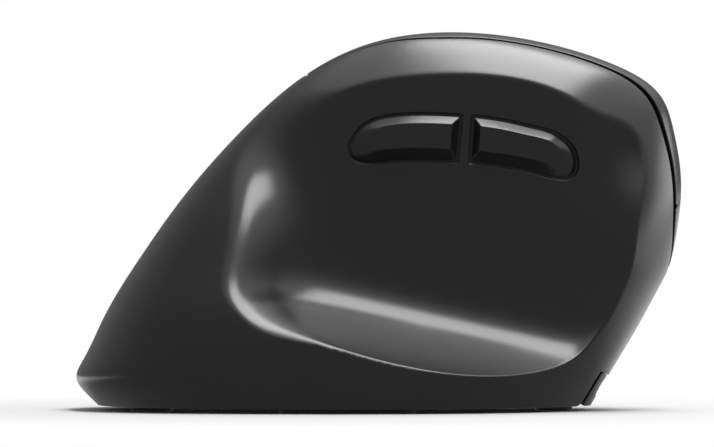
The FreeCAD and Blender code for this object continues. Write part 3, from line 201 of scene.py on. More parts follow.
class Form:
    """Outer form of the housing, in millimetres."""

    def __init__(self, sizes):
        self.length = sizes.length / MM
        self.height = sizes.height / MM
        self.thumb_width = sizes.thumb_width / MM
        self.finger_width = sizes.finger_width / MM
        self.ground = sizes.ground_gap / MM
        self.scoop_depth = sizes.scoop_depth / MM
        self.rest_level = sizes.rest_level / MM
        self.crease = sizes.crease / MM
        self.crest_x = 14.0
        self.tail_bend = 3.4
        degrees = np.arange(FAN[0] - 1, FAN[1] + 1, 0.05)
        self.reach = curve_through(np.column_stack([degrees, self.find_reach(np.radians(degrees))]))

    def depth_share(self, z):
        """Root of the share of the height that lies above a level."""
        return np.sqrt(np.maximum(0.0, 1 - z / self.height))

    def ends(self, z):
        """Tail and front ends of the body at a level."""
        q = self.depth_share(z)
        return TAIL(q) * self.length, FRONT(q) * self.length

    def find_reach(self, angle):
        """Distance from the pivot to the outline in side view."""
        near, far = np.full(angle.shape, 25.0), np.full(angle.shape, 3 * self.length)
        for _ in range(52):
            middle = (near + far) / 2
            x, z = middle * np.cos(angle), PIVOT_Z + middle * np.sin(angle)
            tail, front = self.ends(z)
            inside = (z < self.height) & (tail < x) & (x < front)
            near, far = np.where(inside, middle, near), np.where(inside, far, middle)
        return near

    def middle_y(self, x):
        """Y of the ridge, which bends to the finger side towards the tail."""
        return self.tail_bend * ((x - self.crest_x) / 60) ** 2

    def fullness(self, x, z, flat, skew):
        """Share of a side's half width at a place along the body, 0 at the ends."""
        tail, front = self.ends(z)
        along = (2 * x - tail - front) / np.maximum(front - tail, 1e-6)
        return np.sqrt(np.maximum(0.0, (1 - along ** 2) * (1 - (flat + skew * along) * along ** 2)))

    def thumb_y(self, x, z):
        """Thumb side before the scoop."""
        width = self.thumb_width * THUMB(self.depth_share(z))
        return self.middle_y(x) - width * self.fullness(x, z, -.35, .65)

    def finger_y(self, x, z):
        """Finger side."""
        width = self.finger_width * FINGER(self.depth_share(z))
        return self.middle_y(x) + width * self.fullness(x, z, -.25, .35)

    def scoop_y(self, x, z):
        """Depth of the panel that the thumb lies against: wall, rest and flared rear."""
        nose = np.exp(-((x - 52) / 8) ** 2 - ((z - 53) / 12) ** 2)
        wall = self.scoop_depth + .035 * x - 5.0 * nose
        below = self.rest_level - .185 * x - z + 2.2 * np.exp(-((x - 43) / 4) ** 2)
        rest = (below + np.hypot(below, 5.0)) / (2 * (.29 + .0033 * x))
        behind = -19.5 - (z - 32) ** 2 / 37 - x
        flare = .9 * (behind + np.hypot(behind, 8.0))
        return wall + rest + flare

    def scooped_y(self, x, z):
        """Thumb side after the scoop, which meets it softly at the rear and in a crease elsewhere."""
        rear = 1 - eased(x, -24, -6)
        return -soft_least(self.scoop_y(x, z), -self.thumb_y(x, z), self.crease + (10 - self.crease) * rear)

    def crossing(self, chart):
        """How far the scoop lies inside the outer surface; its crease is where this is 0."""
        x, z, side = self.side_place(chart)
        return np.where(side < 0, -self.scoop_y(x, z) - self.thumb_y(x, z), -10.0)

    def side_place(self, chart):
        """X, Z and side (-1 thumb, 1 finger) of chart points."""
        degrees, share = chart[:, 0] / PER_DEGREE, chart[:, 1] / PER_SIDE
        angle = np.radians(degrees)
        top = self.reach(degrees)
        low = (FLOOR_Z - PIVOT_Z) / np.sin(angle)
        far = top - (top - low) * (1 - np.cos(np.pi * share)) / 2
        return far * np.cos(angle), PIVOT_Z + far * np.sin(angle), np.where(share < 0, -1.0, 1.0)

    def place(self, chart):
        """Points of the finished outer surface."""
        x, z, side = self.side_place(chart)
        return np.column_stack([x, np.where(side < 0, self.scooped_y(x, z), self.finger_y(x, z)), z])

    def lifted(self, rise):
        """Finished surface moved out along its normals."""
        return lambda chart: self.place(chart) + rise * normals_of(self.place, chart)


def eased(u, low, high):
    """Smooth step from 0 at low to 1 at high."""
    share = np.clip((u - low) / (high - low), 0.0, 1.0)
    return share * share * (3 - 2 * share)


def soft_least(first, second, reach):
    """Smaller of two values, with the change between them rounded."""
    share = np.maximum(reach - np.abs(first - second), 0.0) / reach
    return np.minimum(first, second) - share * share * reach / 4


def soft_most(first, second, reach):
    """Larger of two values, with the change between them rounded."""
    return -soft_least(-first, -second, reach)


# Fields, positive inside, in millimetres

SLOPE_TILT = math.radians(58.4)
SLOPE_AT = (19.24, 52.84)
KEY_FOOT = (36.0, 25.4)
KEY_NOSE = (57.5, 11.9)


def on_slope(points):
    """X, S and N of points in the finger slope's frame."""
    y, z = points[:, 1] - SLOPE_AT[0], points[:, 2] - SLOPE_AT[1]
    return (points[:, 0], y * math.cos(SLOPE_TILT) - z * math.sin(SLOPE_TILT),
            y * math.sin(SLOPE_TILT) + z * math.cos(SLOPE_TILT))


def racetrack(x, s, middle, half_length, half_width, radius):
    """Distance inside a rectangle with rounded corners."""
    dx = np.abs(x - middle) - (half_length - radius)
    ds = np.abs(s) - (half_width - radius)
    outside = np.hypot(np.maximum(dx, 0), np.maximum(ds, 0))
    return radius - outside - np.minimum(np.maximum(dx, ds), 0)


def line_field(x, s, start, end):
    """Distance to the right of a line."""
    ax, as_ = end[0] - start[0], end[1] - start[1]
    return ((x - start[0]) * as_ - (s - start[1]) * ax) / math.hypot(ax, as_)


# Meshes from fields

def slopes(place, chart, step=1e-3):
    """Change of a function of the chart along each of its two directions."""
    out = []
    for shift in ((step, 0), (0, step)):
        out.append((place(chart + shift) - place(chart - np.array(shift))) / (2 * step))
    return out


def normals_of(place, chart):
    """Unit normals of a surface."""
    along, across = slopes(place, chart)
    normal = np.cross(across, along)
    return normal / np.maximum(np.linalg.norm(normal, axis=1), 1e-12)[:, None]


def contours(field, span, step, level):
    """Closed loops of chart points where a field has a value."""
    us = np.arange(span[0], span[1] + step, step)
    vs = np.arange(span[2], span[3] + step, step)
    grid = np.array(np.meshgrid(us, vs, indexing="ij")).reshape(2, -1).T
    values = (field(grid) - level).reshape(len(us), len(vs))
    values[values == 0] = 1e-9
    spots, links = {}, {}

    def crossing(i, j, upright):
        key = (i, j, upright)
        if key not in spots:
            a = values[i, j]
            b = values[i, j + 1] if upright else values[i + 1, j]
            share = a / (a - b)
            spots[key] = (us[i] + (0 if upright else share * step), vs[j] + (share * step if upright else 0))
        return key

    mixed = values > 0
    count = mixed[:-1, :-1].astype(int) + mixed[1:, :-1] + mixed[:-1, 1:] + mixed[1:, 1:]
    for i, j in np.argwhere((count > 0) & (count < 4)):
        corners = [(i, j), (i + 1, j), (i + 1, j + 1), (i, j + 1)]
        sides = [(i, j, False), (i + 1, j, True), (i, j + 1, False), (i, j, True)]
        cut = [crossing(*sides[k]) for k in range(4) if mixed[corners[k]] != mixed[corners[(k + 1) % 4]]]
        if len(cut) == 4 and mixed[corners[0]] != (values[i:i + 2, j:j + 2].mean() > 0):
            cut = cut[1:] + cut[:1]
            cut = [cut[3], cut[0], cut[1], cut[2]] if mixed[corners[0]] else cut
        for a, b in zip(cut[::2], cut[1::2]):
            links.setdefault(a, []).append(b)
            links.setdefault(b, []).append(a)
    loops = []
    while links:
        start = next(iter(links))
        here, before = start, None
        chain = [here]
        while True:
            ways = links.pop(here, [])
            ahead = [way for way in ways if way != before and (way in links or way == start)]
            if not ahead or ahead[0] == start:
                break
            before, here = here, ahead[0]
            chain.append(here)
        loops.append(np.array([spots[key] for key in chain]))
    return [loop for loop in loops if len(loop) > 8]


def onto(field, chart, level):
    """Chart points moved onto a field's level."""
    for _ in range(4):
        gu, gv = slopes(field, chart)
        steep = np.maximum(gu ** 2 + gv ** 2, 1e-9)
        miss = np.clip((field(chart) - level) / steep, -1, 1)
        chart = chart - np.column_stack([miss * gu, miss * gv])
    return chart


def evened(loop, place, spacing, closed=True):
    """Loop with its points evenly spaced on the surface."""
    line = np.vstack([loop, loop[:1]]) if closed else loop
    lengths = np.linalg.norm(np.diff(place(line), axis=0), axis=1)
    run = np.concatenate([[0], np.cumsum(lengths)])
    count = max(int(run[-1] / spacing), 8)
    spots = np.linspace(0, run[-1], count, endpoint=not closed)
    return np.column_stack([np.interp(spots, run, line[:, k]) for k in (0, 1)])


def filled(field, place, span, spacing, level, creases=(), fine=0.4, grid_step=0.6):
    """Chart points and triangles of the region where a field is above a level."""
    loops = []
    for loop in contours(field, span, grid_step, level):
        for _ in range(2):
            loop = onto(field, evened(loop, place, fine), level)
        loops.append(loop)
    points, edges, start = list(loops), [], 0
    for loop in loops:
        count = len(loop)
        edges += [(start + i, start + (i + 1) % count) for i in range(count)]
        start += count
    for crease, levels in creases:
        for value in levels:
            for line in contours(crease, span, grid_step, value):
                line = onto(crease, evened(line, place, 0.55), value)
                points.append(line[field(line) > level + 0.12])
    held = np.vstack(points)
    tree = kdtree.KDTree(len(held))
    for i, spot in enumerate(held):
        tree.insert((spot[0], spot[1], 0), i)
    tree.balance()
    us = np.arange(span[0], span[1], spacing)
    vs = np.arange(span[2], span[3], spacing * 0.87)
    grid = np.array([(u + (spacing / 2 if j % 2 else 0), v) for j, v in enumerate(vs) for u in us])
    grid = grid[field(grid) > level + 0.3 * spacing]
    keep = [tree.find((u, v, 0))[2] > 0.62 * spacing for u, v in grid]
    chart = np.vstack([held, grid[keep]])
    result = geometry.delaunay_2d_cdt([Vector(spot) for spot in chart], edges, [], 0, 1e-7)
    chart = np.array([tuple(spot) for spot in result[0]])
    triangles = np.array(result[2])
    middles = chart[triangles].mean(axis=1)
    triangles = triangles[field(middles) > level]
    used = np.unique(triangles)
    renumber = np.full(len(chart), -1)
    renumber[used] = np.arange(len(used))
    return chart[used], renumber[triangles]


def rim_edges(triangles):
    """Directed edges that only one triangle has."""
    edges = np.vstack([triangles[:, [0, 1]], triangles[:, [1, 2]], triangles[:, [2, 0]]])
    keys = np.sort(edges, axis=1)
    order = keys[:, 0].astype(np.int64) * (keys.max() + 1) + keys[:, 1]
    _, inverse, counts = np.unique(order, return_inverse=True, return_counts=True)
    return edges[counts[inverse] == 1]


def linked(name, data):
    """Object of a mesh, a lamp or a camera, put into the scene."""
    thing = bpy.data.objects.new(name, data)
    bpy.context.scene.collection.objects.link(thing)
    return thing


def build(name, points, normals, faces, material):
    """Object of a mesh in millimetres with its own normals."""
    mesh = bpy.data.meshes.new(name)
    mesh.from_pydata((points * MM).tolist(), [], faces)
    mesh.polygons.foreach_set("use_smooth", [True] * len(mesh.polygons))
    mesh.normals_split_custom_set_from_vertices(normals.tolist())
    mesh.materials.append(material)
    return linked(name, mesh)


def moulded(name, field, place, span, material, roll, wall, spacing=0.9, creases=(), fine=0.4, grid=0.6):
    """Moulded piece over a region of a surface, with a rolled edge, a wall and an inner skin."""
    chart, triangles = filled(field, place, span, spacing, roll, creases, fine, grid)
    points, normals = place(chart), normals_of(place, chart)
    corners = points[triangles]
    facing = np.cross(corners[:, 1] - corners[:, 0], corners[:, 2] - corners[:, 0])
    backward = np.einsum("ij,ij->i", facing, normals[triangles[:, 0]]) < 0
    triangles[backward] = triangles[backward][:, ::-1]
    edges = rim_edges(triangles)
    rim = np.unique(edges)
    at = {index: i for i, index in enumerate(rim)}
    outward = np.zeros((len(rim), 3))
    for a, b in edges:
        way = np.cross(points[b] - points[a], normals[a])
        way /= max(np.linalg.norm(way), 1e-12)
        outward[at[a]] += way
        outward[at[b]] += way
    outward -= np.einsum("ij,ij->i", outward, normals[rim])[:, None] * normals[rim]
    outward /= np.maximum(np.linalg.norm(outward, axis=1), 1e-12)[:, None]
    count = len(points)
    rows, row_normals = [], []
    turns = 4
    for k in range(1, turns + 1):
        turn = math.pi / 2 * k / turns
        way = math.cos(turn) * normals[rim] + math.sin(turn) * outward
        rows.append(points[rim] - roll * normals[rim] + roll * way)
        row_normals.append(way)
    rows.append(points[rim] + roll * outward - wall * normals[rim])
    row_normals.append(outward)
    faces = triangles.tolist()
    starts = [None] + [count + k * len(rim) for k in range(len(rows))]
    inner = count + len(rows) * len(rim)
    for k in range(len(starts)):
        for a, b in edges:
            here = (a, b) if starts[k] is None else (starts[k] + at[a], starts[k] + at[b])
            if k + 1 < len(starts):
                there = (starts[k + 1] + at[a], starts[k + 1] + at[b])
            else:
                there = (inner + a, inner + b)
            faces.append((here[1], here[0], there[0], there[1]))
    faces += (triangles[:, ::-1] + inner).tolist()
    points = np.vstack([points] + rows + [points - wall * normals])
    normals = np.vstack([normals] + row_normals + [-normals])
    return build(name, points, normals, faces, material)


# Finishes

def effect(name, inputs, outputs, wire):
    """Node group, made once, that wire(nodes, links, given, out) fills; inputs are (label, kind, default)."""
    if name in bpy.data.node_groups:
        return bpy.data.node_groups[name]
    group = bpy.data.node_groups.new(name, "ShaderNodeTree")
    for label, kind, value in inputs:
        socket = group.interface.new_socket(label, in_out="INPUT", socket_type="NodeSocket" + kind)
        socket.default_value = value
    for label, kind in outputs:
        group.interface.new_socket(label, in_out="OUTPUT", socket_type="NodeSocket" + kind)
    ends = [group.nodes.new(kind) for kind in ("NodeGroupInput", "NodeGroupOutput")]
    wire(group.nodes, group.links, *ends)
    return group


def noise_at(nodes, links, detail=3.0):
    """Noise texture over the frame's own place."""
    spot = nodes.new("ShaderNodeTexCoord")
    noise = nodes.new("ShaderNodeTexNoise")
    noise.inputs["Detail"].default_value = detail
    links.new(spot.outputs["Object"], noise.inputs["Vector"])
    return noise


def sum_of(nodes, links, kind, first, second, third=None):
    """Math node over sockets or numbers; gives its output."""
    node = nodes.new("ShaderNodeMath")
    node.operation = kind
    for place, term in enumerate((first, second, third)):
        if isinstance(term, (int, float)):
            node.inputs[place].default_value = term
        elif term is not None:
            links.new(term, node.inputs[place])
    return node.outputs[0]


def scaled_noise(nodes, links, scale, detail=3.0):
    """Noise texture of a fixed scale."""
    noise = noise_at(nodes, links, detail)
    noise.inputs["Scale"].default_value = scale
    return noise


def bumped(nodes, links, height, distance, strength=1.0):
    """Bump node over a height; gives the node."""
    bump = nodes.new("ShaderNodeBump")
    bump.inputs["Distance"].default_value = distance
    bump.inputs["Strength"].default_value = strength
    links.new(height, bump.inputs["Height"])
    return bump


def wire_grain(nodes, links, given, out):
    """Fine moulded grain as a bump, with a little change of gloss."""
    grain, cloud = noise_at(nodes, links), scaled_noise(nodes, links, 70.0)
    bump = bumped(nodes, links, grain.outputs["Fac"], 0.0001)
    links.new(given.outputs["Scale"], grain.inputs["Scale"])
    links.new(given.outputs["Depth"], bump.inputs["Strength"])
    shift = sum_of(nodes, links, "SUBTRACT", cloud.outputs["Fac"], 0.5)
    share = sum_of(nodes, links, "MULTIPLY_ADD", shift, given.outputs["Variation"],
                   given.outputs["Roughness"])
    links.new(bump.outputs["Normal"], out.inputs["Normal"])
    links.new(share, out.inputs["Roughness"])


def moulded_grain():
    """Group of the moulded grain."""
    return effect("Moulded Grain", [("Scale", "Float", 5000.0), ("Depth", "Float", 0.02),
                                    ("Roughness", "Float", 0.4), ("Variation", "Float", 0.05)],
                  [("Normal", "Vector"), ("Roughness", "Float")], wire_grain)


def wire_mottle(nodes, links, given, out):
    """Colour that drifts a little lighter and darker, as filled plastic does."""
    cloud = noise_at(nodes, links)
    links.new(given.outputs["Scale"], cloud.inputs["Scale"])
    shift = sum_of(nodes, links, "SUBTRACT", cloud.outputs["Fac"], 0.5)
    value = sum_of(nodes, links, "MULTIPLY_ADD", shift, given.outputs["Shift"], 1.0)
    tint = nodes.new("ShaderNodeHueSaturation")
    links.new(given.outputs["Color"], tint.inputs["Color"])
    links.new(value, tint.inputs["Value"])
    links.new(tint.outputs["Color"], out.inputs["Color"])


def mottle():
    """Group of the colour's drift."""
    return effect("Colour Mottle", [("Color", "Color", (.5, .5, .5, 1)), ("Shift", "Float", 0.2),
                                    ("Scale", "Float", 90.0)], [("Color", "Color")], wire_mottle)


def wire_brushed(nodes, links, given, out):
    """Fine drawn lines, as a bump and a change of gloss."""
    lines = noise_at(nodes, links, 4.0)
    spot = lines.inputs["Vector"].links[0].from_socket
    stretch = nodes.new("ShaderNodeMapping")
    links.new(spot, stretch.inputs["Vector"])
    links.new(given.outputs["Stretch"], stretch.inputs["Scale"])
    links.new(stretch.outputs["Vector"], lines.inputs["Vector"])
    lines.inputs["Scale"].default_value = 1.0
    bump = bumped(nodes, links, lines.outputs["Fac"], 0.00005)
    links.new(given.outputs["Depth"], bump.inputs["Strength"])
    share = sum_of(nodes, links, "MULTIPLY_ADD", lines.outputs["Fac"], 0.2, given.outputs["Roughness"])
    links.new(bump.outputs["Normal"], out.inputs["Normal"])
    links.new(share, out.inputs["Roughness"])


def brushed():
    """Group of drawn metal."""
    return effect("Drawn Metal", [("Stretch", "Vector", (200, 9000, 9000)), ("Depth", "Float", 0.3),
                                  ("Roughness", "Float", 0.25)],
                  [("Normal", "Vector"), ("Roughness", "Float")], wire_brushed)


def principled(name, colour, roughness, **sockets):
    """Material with one Principled shader, and that shader."""
    material = bpy.data.materials.new(name)
    material.use_nodes = True
    shader = material.node_tree.nodes["Principled BSDF"]
    shader.inputs["Base Color"].default_value = (*colour, 1.0)
    shader.inputs["Roughness"].default_value = roughness
    for socket, value in sockets.items():
        shader.inputs[socket.replace("_", " ").title().replace("Ior", "IOR")].default_value = value
    return material, shader


def placed(material, group, values, wires):
    """Puts a node group into a material with its own values, and links its outputs to the shader."""
    node = material.node_tree.nodes.new("ShaderNodeGroup")
    node.node_tree = group
    for label, value in values.items():
        node.inputs[label].default_value = value
    shader = material.node_tree.nodes["Principled BSDF"]
    for output, socket in wires.items():
        material.node_tree.links.new(node.outputs[output], shader.inputs[socket])
    return node


def grained(name, colour, roughness, depth=0.25, scale=5000.0, variation=0.05, drift=0.25, drift_scale=90.0,
            **sockets):
    """Plastic or rubber with moulded grain and a slightly drifting colour."""
    material, _ = principled(name, colour, roughness, **sockets)
    values = {"Scale": scale, "Depth": depth, "Roughness": roughness, "Variation": variation}
    placed(material, moulded_grain(), values, {"Normal": "Normal", "Roughness": "Roughness"})
    placed(material, mottle(), {"Color": (*colour, 1), "Shift": drift, "Scale": drift_scale},
           {"Color": "Base Color"})
    return material


def drawn(name, colour, roughness, stretch, depth=0.3):
    """Metal with drawn lines."""
    material, _ = principled(name, colour, roughness, metallic=1.0)
    placed(material, brushed(), {"Stretch": stretch, "Depth": depth, "Roughness": roughness},
           {"Normal": "Normal", "Roughness": "Roughness"})
    placed(material, mottle(), {"Color": (*colour, 1), "Shift": 0.12, "Scale": 300.0},
           {"Color": "Base Color"})
    return material


def board_lacquer(colour):
    """Circuit board: copper tracks that show as lighter lines under the lacquer."""
    material, shader = principled("Board Lacquer", colour, 0.3, coat_weight=0.4)
    nodes, links = material.node_tree.nodes, material.node_tree.links
    tracks = nodes.new("ShaderNodeTexVoronoi")
    tracks.feature, tracks.distance = "DISTANCE_TO_EDGE", "MANHATTAN"
    tracks.inputs["Scale"].default_value = 420.0
    spot = nodes.new("ShaderNodeTexCoord")
    links.new(spot.outputs["Object"], tracks.inputs["Vector"])
    ramp = nodes.new("ShaderNodeValToRGB")
    ramp.color_ramp.elements[0].position, ramp.color_ramp.elements[1].position = 0.04, 0.07
    ramp.color_ramp.elements[0].color = (*[min(1, 2.2 * part + .01) for part in colour], 1)
    ramp.color_ramp.elements[1].color = (*colour, 1)
    bump = bumped(nodes, links, tracks.outputs["Distance"], 0.00004)
    bump.invert = True
    links.new(tracks.outputs["Distance"], ramp.inputs["Fac"])
    links.new(ramp.outputs["Color"], shader.inputs["Base Color"])
    links.new(bump.outputs["Normal"], shader.inputs["Normal"])
    return material


def crinkled_foil():
    """Battery pouch: laminated foil with soft creases."""
    material, shader = principled("Battery Foil", (.58, .58, .6), 0.34, metallic=1.0)
    nodes, links = material.node_tree.nodes, material.node_tree.links
    folds = nodes.new("ShaderNodeTexVoronoi")
    folds.feature = "SMOOTH_F1"
    folds.inputs["Scale"].default_value = 210.0
    spot = nodes.new("ShaderNodeTexCoord")
    bump = bumped(nodes, links, folds.outputs["Distance"], 0.0003, 0.5)
    links.new(spot.outputs["Object"], folds.inputs["Vector"])
    links.new(bump.outputs["Normal"], shader.inputs["Normal"])
    return material


def clear_lens():
    """Sensor's lens: clear moulding with faint flow marks."""
    material, shader = principled("Clear Lens", (.92, .94, .96), 0.06, transmission_weight=1.0, ior=1.49)
    nodes, links = material.node_tree.nodes, material.node_tree.links
    bump = bumped(nodes, links, scaled_noise(nodes, links, 260.0).outputs["Fac"], 0.0001, 0.25)
    links.new(bump.outputs["Normal"], shader.inputs["Normal"])
    return material


def finish_of(slot):
    """Material of one of the record's slots, made when it is first asked for."""
    if "Mouse " + slot in bpy.data.materials:
        return bpy.data.materials["Mouse " + slot]
    looks = bpy.context.scene.mouse_finishes
    makers = {
        "shell_plastic": lambda: grained("", looks.shell, looks.shell_roughness, 0.15, 5200, 0.04,
                                         specular_ior_level=0.85),
        "thumb_key_plastic": lambda: grained("", looks.thumb_keys, 0.2, 0.1, 6500, 0.03,
                                             specular_ior_level=0.85),
        "tyre_rubber": lambda: grained("", looks.tyre, 0.72, 0.7, 3200, 0.08, 0.5, specular_ior_level=0.35),
        "hub_plastic": lambda: grained("", (.016, .016, .017), 0.36, 0.15, specular_ior_level=0.35),
        "frame_plastic": lambda: grained("", (.02, .02, .02), 0.55, 0.5, 3800, 0.06, specular_ior_level=0.4),
        "gloss_trim": lambda: grained("", (.006, .006, .0065), 0.16, 0.05, 2400, 0.03,
                                      specular_ior_level=0.4),
        "foot_slider": lambda: grained("", (.05, .05, .052), 0.48, 0.4, 1600, 0.12, 0.5,
                                       specular_ior_level=0.45),
        "circuit_board": lambda: board_lacquer(looks.board),
        "switch_case": lambda: grained("", (.022, .022, .024), 0.5, 0.35, 4200),
        "switch_plunger": lambda: grained("", (.55, .55, .53), 0.42, 0.15, 4200, 0.04, 0.1,
                                          subsurface_weight=0.1, subsurface_radius=(.0004, .0004, .0004)),
        "screw_steel": lambda: drawn("", (.45, .45, .46), 0.26, (2500, 2500, 2500)),
        "socket_steel": lambda: drawn("", (.6, .6, .61), 0.22, (250, 6000, 6000)),
        "lens_clear": clear_lens,
        "battery_foil": crinkled_foil,
        "battery_foam": lambda: grained("", (.05, .05, .05), 0.92, 1.0, 2200, 0.05, 0.7, 900.0),
    }
    material = makers[slot]()
    material.name = "Mouse " + slot
    return material


# Where each moulded piece is on the housing's surface

SPAN = (FAN[0] * PER_DEGREE, FAN[1] * PER_DEGREE, -0.99 * PER_SIDE, 0.99 * PER_SIDE)
TOP_SPAN = (SPAN[0], SPAN[1], -0.35 * PER_SIDE, 0.75 * PER_SIDE)
WHEEL_AT = (35.0, -7.2)
SPEED_AT = 10.0
PORT_TOP = 7.6
MOUTH_Z = 4.8
STRIP_WALL = 1.7
CAP_ROLL, CAP_WALL = 0.1, 4.6
FLANGE_WALL, FLANGE_REACH = 0.8, 0.65
FOOT_ROLL = 0.15


# Knots of the thumb buttons' openings, X and Z, counter-clockwise from the split round the far end and back
REAR_OPENING = [(16.2, 57.35), (9.3, 57.68), (2.6, 57.35), (-2.25, 55.95), (-5.05, 53.2), (-5.95, 50.5),
                (-5.0, 48.65), (-2.5, 47.8), (3.5, 48.08), (9.5, 48.16), (15.35, 47.92)]
NOSE_OPENING = [(17.25, 47.9), (23.5, 47.08), (30.0, 45.8), (35.3, 44.72), (37.55, 45.2), (38.6, 47.6),
                (37.75, 50.95), (34.75, 53.65), (29.5, 55.27), (23.7, 56.53), (17.9, 57.3)]
CAP_SPAN = (-41.0, 8.0, 43.0, 59.5)
THUMB_SPAN = (30 * PER_DEGREE, 130 * PER_DEGREE, -0.8 * PER_SIDE, -0.02 * PER_SIDE)


class Opening:
    """Outline of a thumb button's opening: a curve through knots, and a straight side at the split."""

    def __init__(self, knots):
        knots = np.array(knots)
        run = np.concatenate([[0], np.cumsum(np.linalg.norm(np.diff(knots, axis=0), axis=1))])
        at = np.linspace(0, run[-1], 150)
        line = np.column_stack([curve_through(np.column_stack([run, knots[:, k]]))(at) for k in (0, 1)])
        start = line[0] + 5 * (line[0] - line[1]) / np.linalg.norm(line[0] - line[1])
        end = line[-1] + 5 * (line[-1] - line[-2]) / np.linalg.norm(line[-1] - line[-2])
        self.line = np.vstack([start, line, end])
        self.first, self.last = knots[0], knots[-1]
        self.low, self.high = knots.min(axis=0) - 3, knots.max(axis=0) + 3

    def curved(self, x, z):
        """Distance inside the curved side."""
        start, way = self.line[:-1], np.diff(self.line, axis=0)
        past = np.column_stack([x, z])[:, None, :] - start[None]
        share = np.clip((past * way).sum(axis=2) / (way ** 2).sum(axis=1), 0, 1)
        far = ((past - share[:, :, None] * way) ** 2).sum(axis=2)
        near, row = far.argmin(axis=1), np.arange(len(past))
        left = way[near, 0] * past[row, near, 1] - way[near, 1] * past[row, near, 0]
        return np.sign(left) * np.sqrt(far[row, near])

    def split(self, x, z):
        """Distance inside the straight side."""
        return line_field(x, z, self.first, self.last)

    def inside(self, x, z):
        """Distance inside the opening, exact near it."""
        field = -3 - np.maximum(np.maximum(self.low[0] - x, x - self.high[0]),
                                np.maximum(self.low[1] - z, z - self.high[1]))
        close = field > -3
        if close.any():
            field[close] = np.minimum(self.curved(x[close], z[close]), self.split(x[close], z[close]))
        return field


OPENINGS = {"back": Opening(REAR_OPENING), "forward": Opening(NOSE_OPENING)}


class Regions:
    """Fields of the moulded pieces on the chart, positive inside."""

    def __init__(self, form):
        self.form = form
        self.port_x = FRONT(form.depth_share(PORT_TOP)) * form.length
        self.port_low_x = FRONT(form.depth_share(form.ground)) * form.length
        self.port_y = form.middle_y(self.port_x)
        self.chin = math.atan2(self.port_x - self.port_low_x, PORT_TOP - form.ground)

    def over_seam(self, chart, points):
        """Distance past the seam towards the finger side."""
        return points[:, 1] - SEAM(chart[:, 0] / PER_DEGREE)

    def key_gap(self, points):
        """Gap that lets a key swing past the thumb shell."""
        return .4 + .78 * np.clip((points[:, 0] + 6.0) / 63.5, 0, None)

    def port(self, points, inset, gap):
        """Distance inside the charging port's block."""
        x, z = points[:, 0] - (self.port_x - inset), points[:, 2] - (PORT_TOP + gap)
        forward = x * math.cos(self.chin) - z * math.sin(self.chin)
        down = -(x * math.sin(self.chin) + z * math.cos(self.chin))
        return soft_least(forward, down, .8)

    def key_field(self, points, gap=0.0):
        """Distance inside both keys' field on the slope."""
        x, s, _ = on_slope(points)
        rear = x + 12.88 - .07 * s - gap
        foot = KEY_FOOT[1] - gap - s
        lower = line_field(x, s, KEY_FOOT, KEY_NOSE) - gap
        return soft_least(soft_least(rear, foot, 1.2), lower, 4.0)

    def strip_hole(self, points, gap):
        """Distance inside the centre strip's outline, grown by a gap."""
        x, s, n = on_slope(points)
        return soft_least(racetrack(x, s, 24.0, 28.0 + gap, 5.5 + gap, 5.4 + gap), n + 16, 1.0)

    def thumb(self, chart):
        """Thumb shell."""
        points = self.form.place(chart)
        inside = soft_least(-self.over_seam(chart, points), points[:, 2] - self.form.ground, .8)
        inside = soft_least(inside, -self.port(points, 2.1, .1), .8)
        for opening in OPENINGS.values():
            inside = np.minimum(inside, -opening.inside(points[:, 0], points[:, 2]))
        return inside

    def palm(self, chart):
        """Palm cover."""
        points = self.form.place(chart)
        inside = soft_least(self.over_seam(chart, points) - .2, points[:, 2] - self.form.ground, .8)
        inside = soft_least(inside, -self.port(points, 2.1, .1), .8)
        return soft_least(inside, -self.key_field(points), 1.0)

    def key(self, chart, way):
        """Key plate: way is -1 for the primary key by the ridge, 1 for the secondary key."""
        points = self.form.place(chart)
        past = self.over_seam(chart, points) - self.key_gap(points)
        inside = soft_least(past, self.key_field(points, .4), 1.0)
        inside = soft_least(inside, way * on_slope(points)[1] - .2, 1.0)
        return soft_least(inside, -self.strip_hole(points, .4), 1.0)

    def strip(self, chart):
        """Centre strip, with openings for the wheel and the speed button."""
        points = self.form.place(chart)
        x, s, _ = on_slope(points)
        inside = np.minimum(self.strip_hole(points, 0.0), -racetrack(x, s, WHEEL_AT[0], 12.4, 4.2, 1.0))
        return np.minimum(inside, -racetrack(x, s, SPEED_AT, 4.85, 2.85, 2.84))

    def speed(self, chart):
        """Speed button."""
        x, s, n = on_slope(self.form.place(chart))
        return np.minimum(racetrack(x, s, SPEED_AT, 4.5, 2.5, 2.49), n + 16)

    def bezel(self, chart):
        """Chin insert round the charging socket's mouth."""
        points = self.form.place(chart)
        inside = soft_least(self.port(points, 2.0, 0.0), points[:, 2] - self.form.ground, .6)
        mouth = racetrack(points[:, 1], points[:, 2] - MOUTH_Z, self.port_y, 4.8, 1.95, 1.9)
        return np.minimum(inside, -mouth)


def settle(thing, node, body, slot):
    """Lets a piece ride on its body and stand for its solid."""
    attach(thing, body)
    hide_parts(node)


def clad(name, node, body, slot, field, place, span, roll, wall, **mesh):
    """Moulded piece that rides on a body and stands for a solid."""
    settle(moulded(name, field, place, span, finish_of(slot), roll, wall, **mesh), node, body, slot)


def scene_form():
    """Form and regions from the scene's own sizes."""
    form = Form(bpy.context.scene.mouse_body)
    return form, Regions(form)


class MOUSE_OT_shells(bpy.types.Operator):
    """Thumb shell with its scoop and button openings, and the palm cover"""
    bl_idname = "mouse.shells"
    bl_label = "Shells"

    def execute(self, context):
        form, regions = scene_form()
        body = context.scene.mouse_body
        crease = [(form.crossing, [share * form.crease for share in (-1.0, -.6, -.3, 0, .3, .6, 1.0)])]
        for name, node, field, creases in (("thumb_skin", "thumb_shell", regions.thumb, crease),
                                           ("palm_skin", "palm_cover", regions.palm, ())):
            clad(name, node, "housing", "shell_plastic", field, form.place, SPAN, body.edge_roll / MM,
                 body.wall / MM, creases=creases)
        return {"FINISHED"}


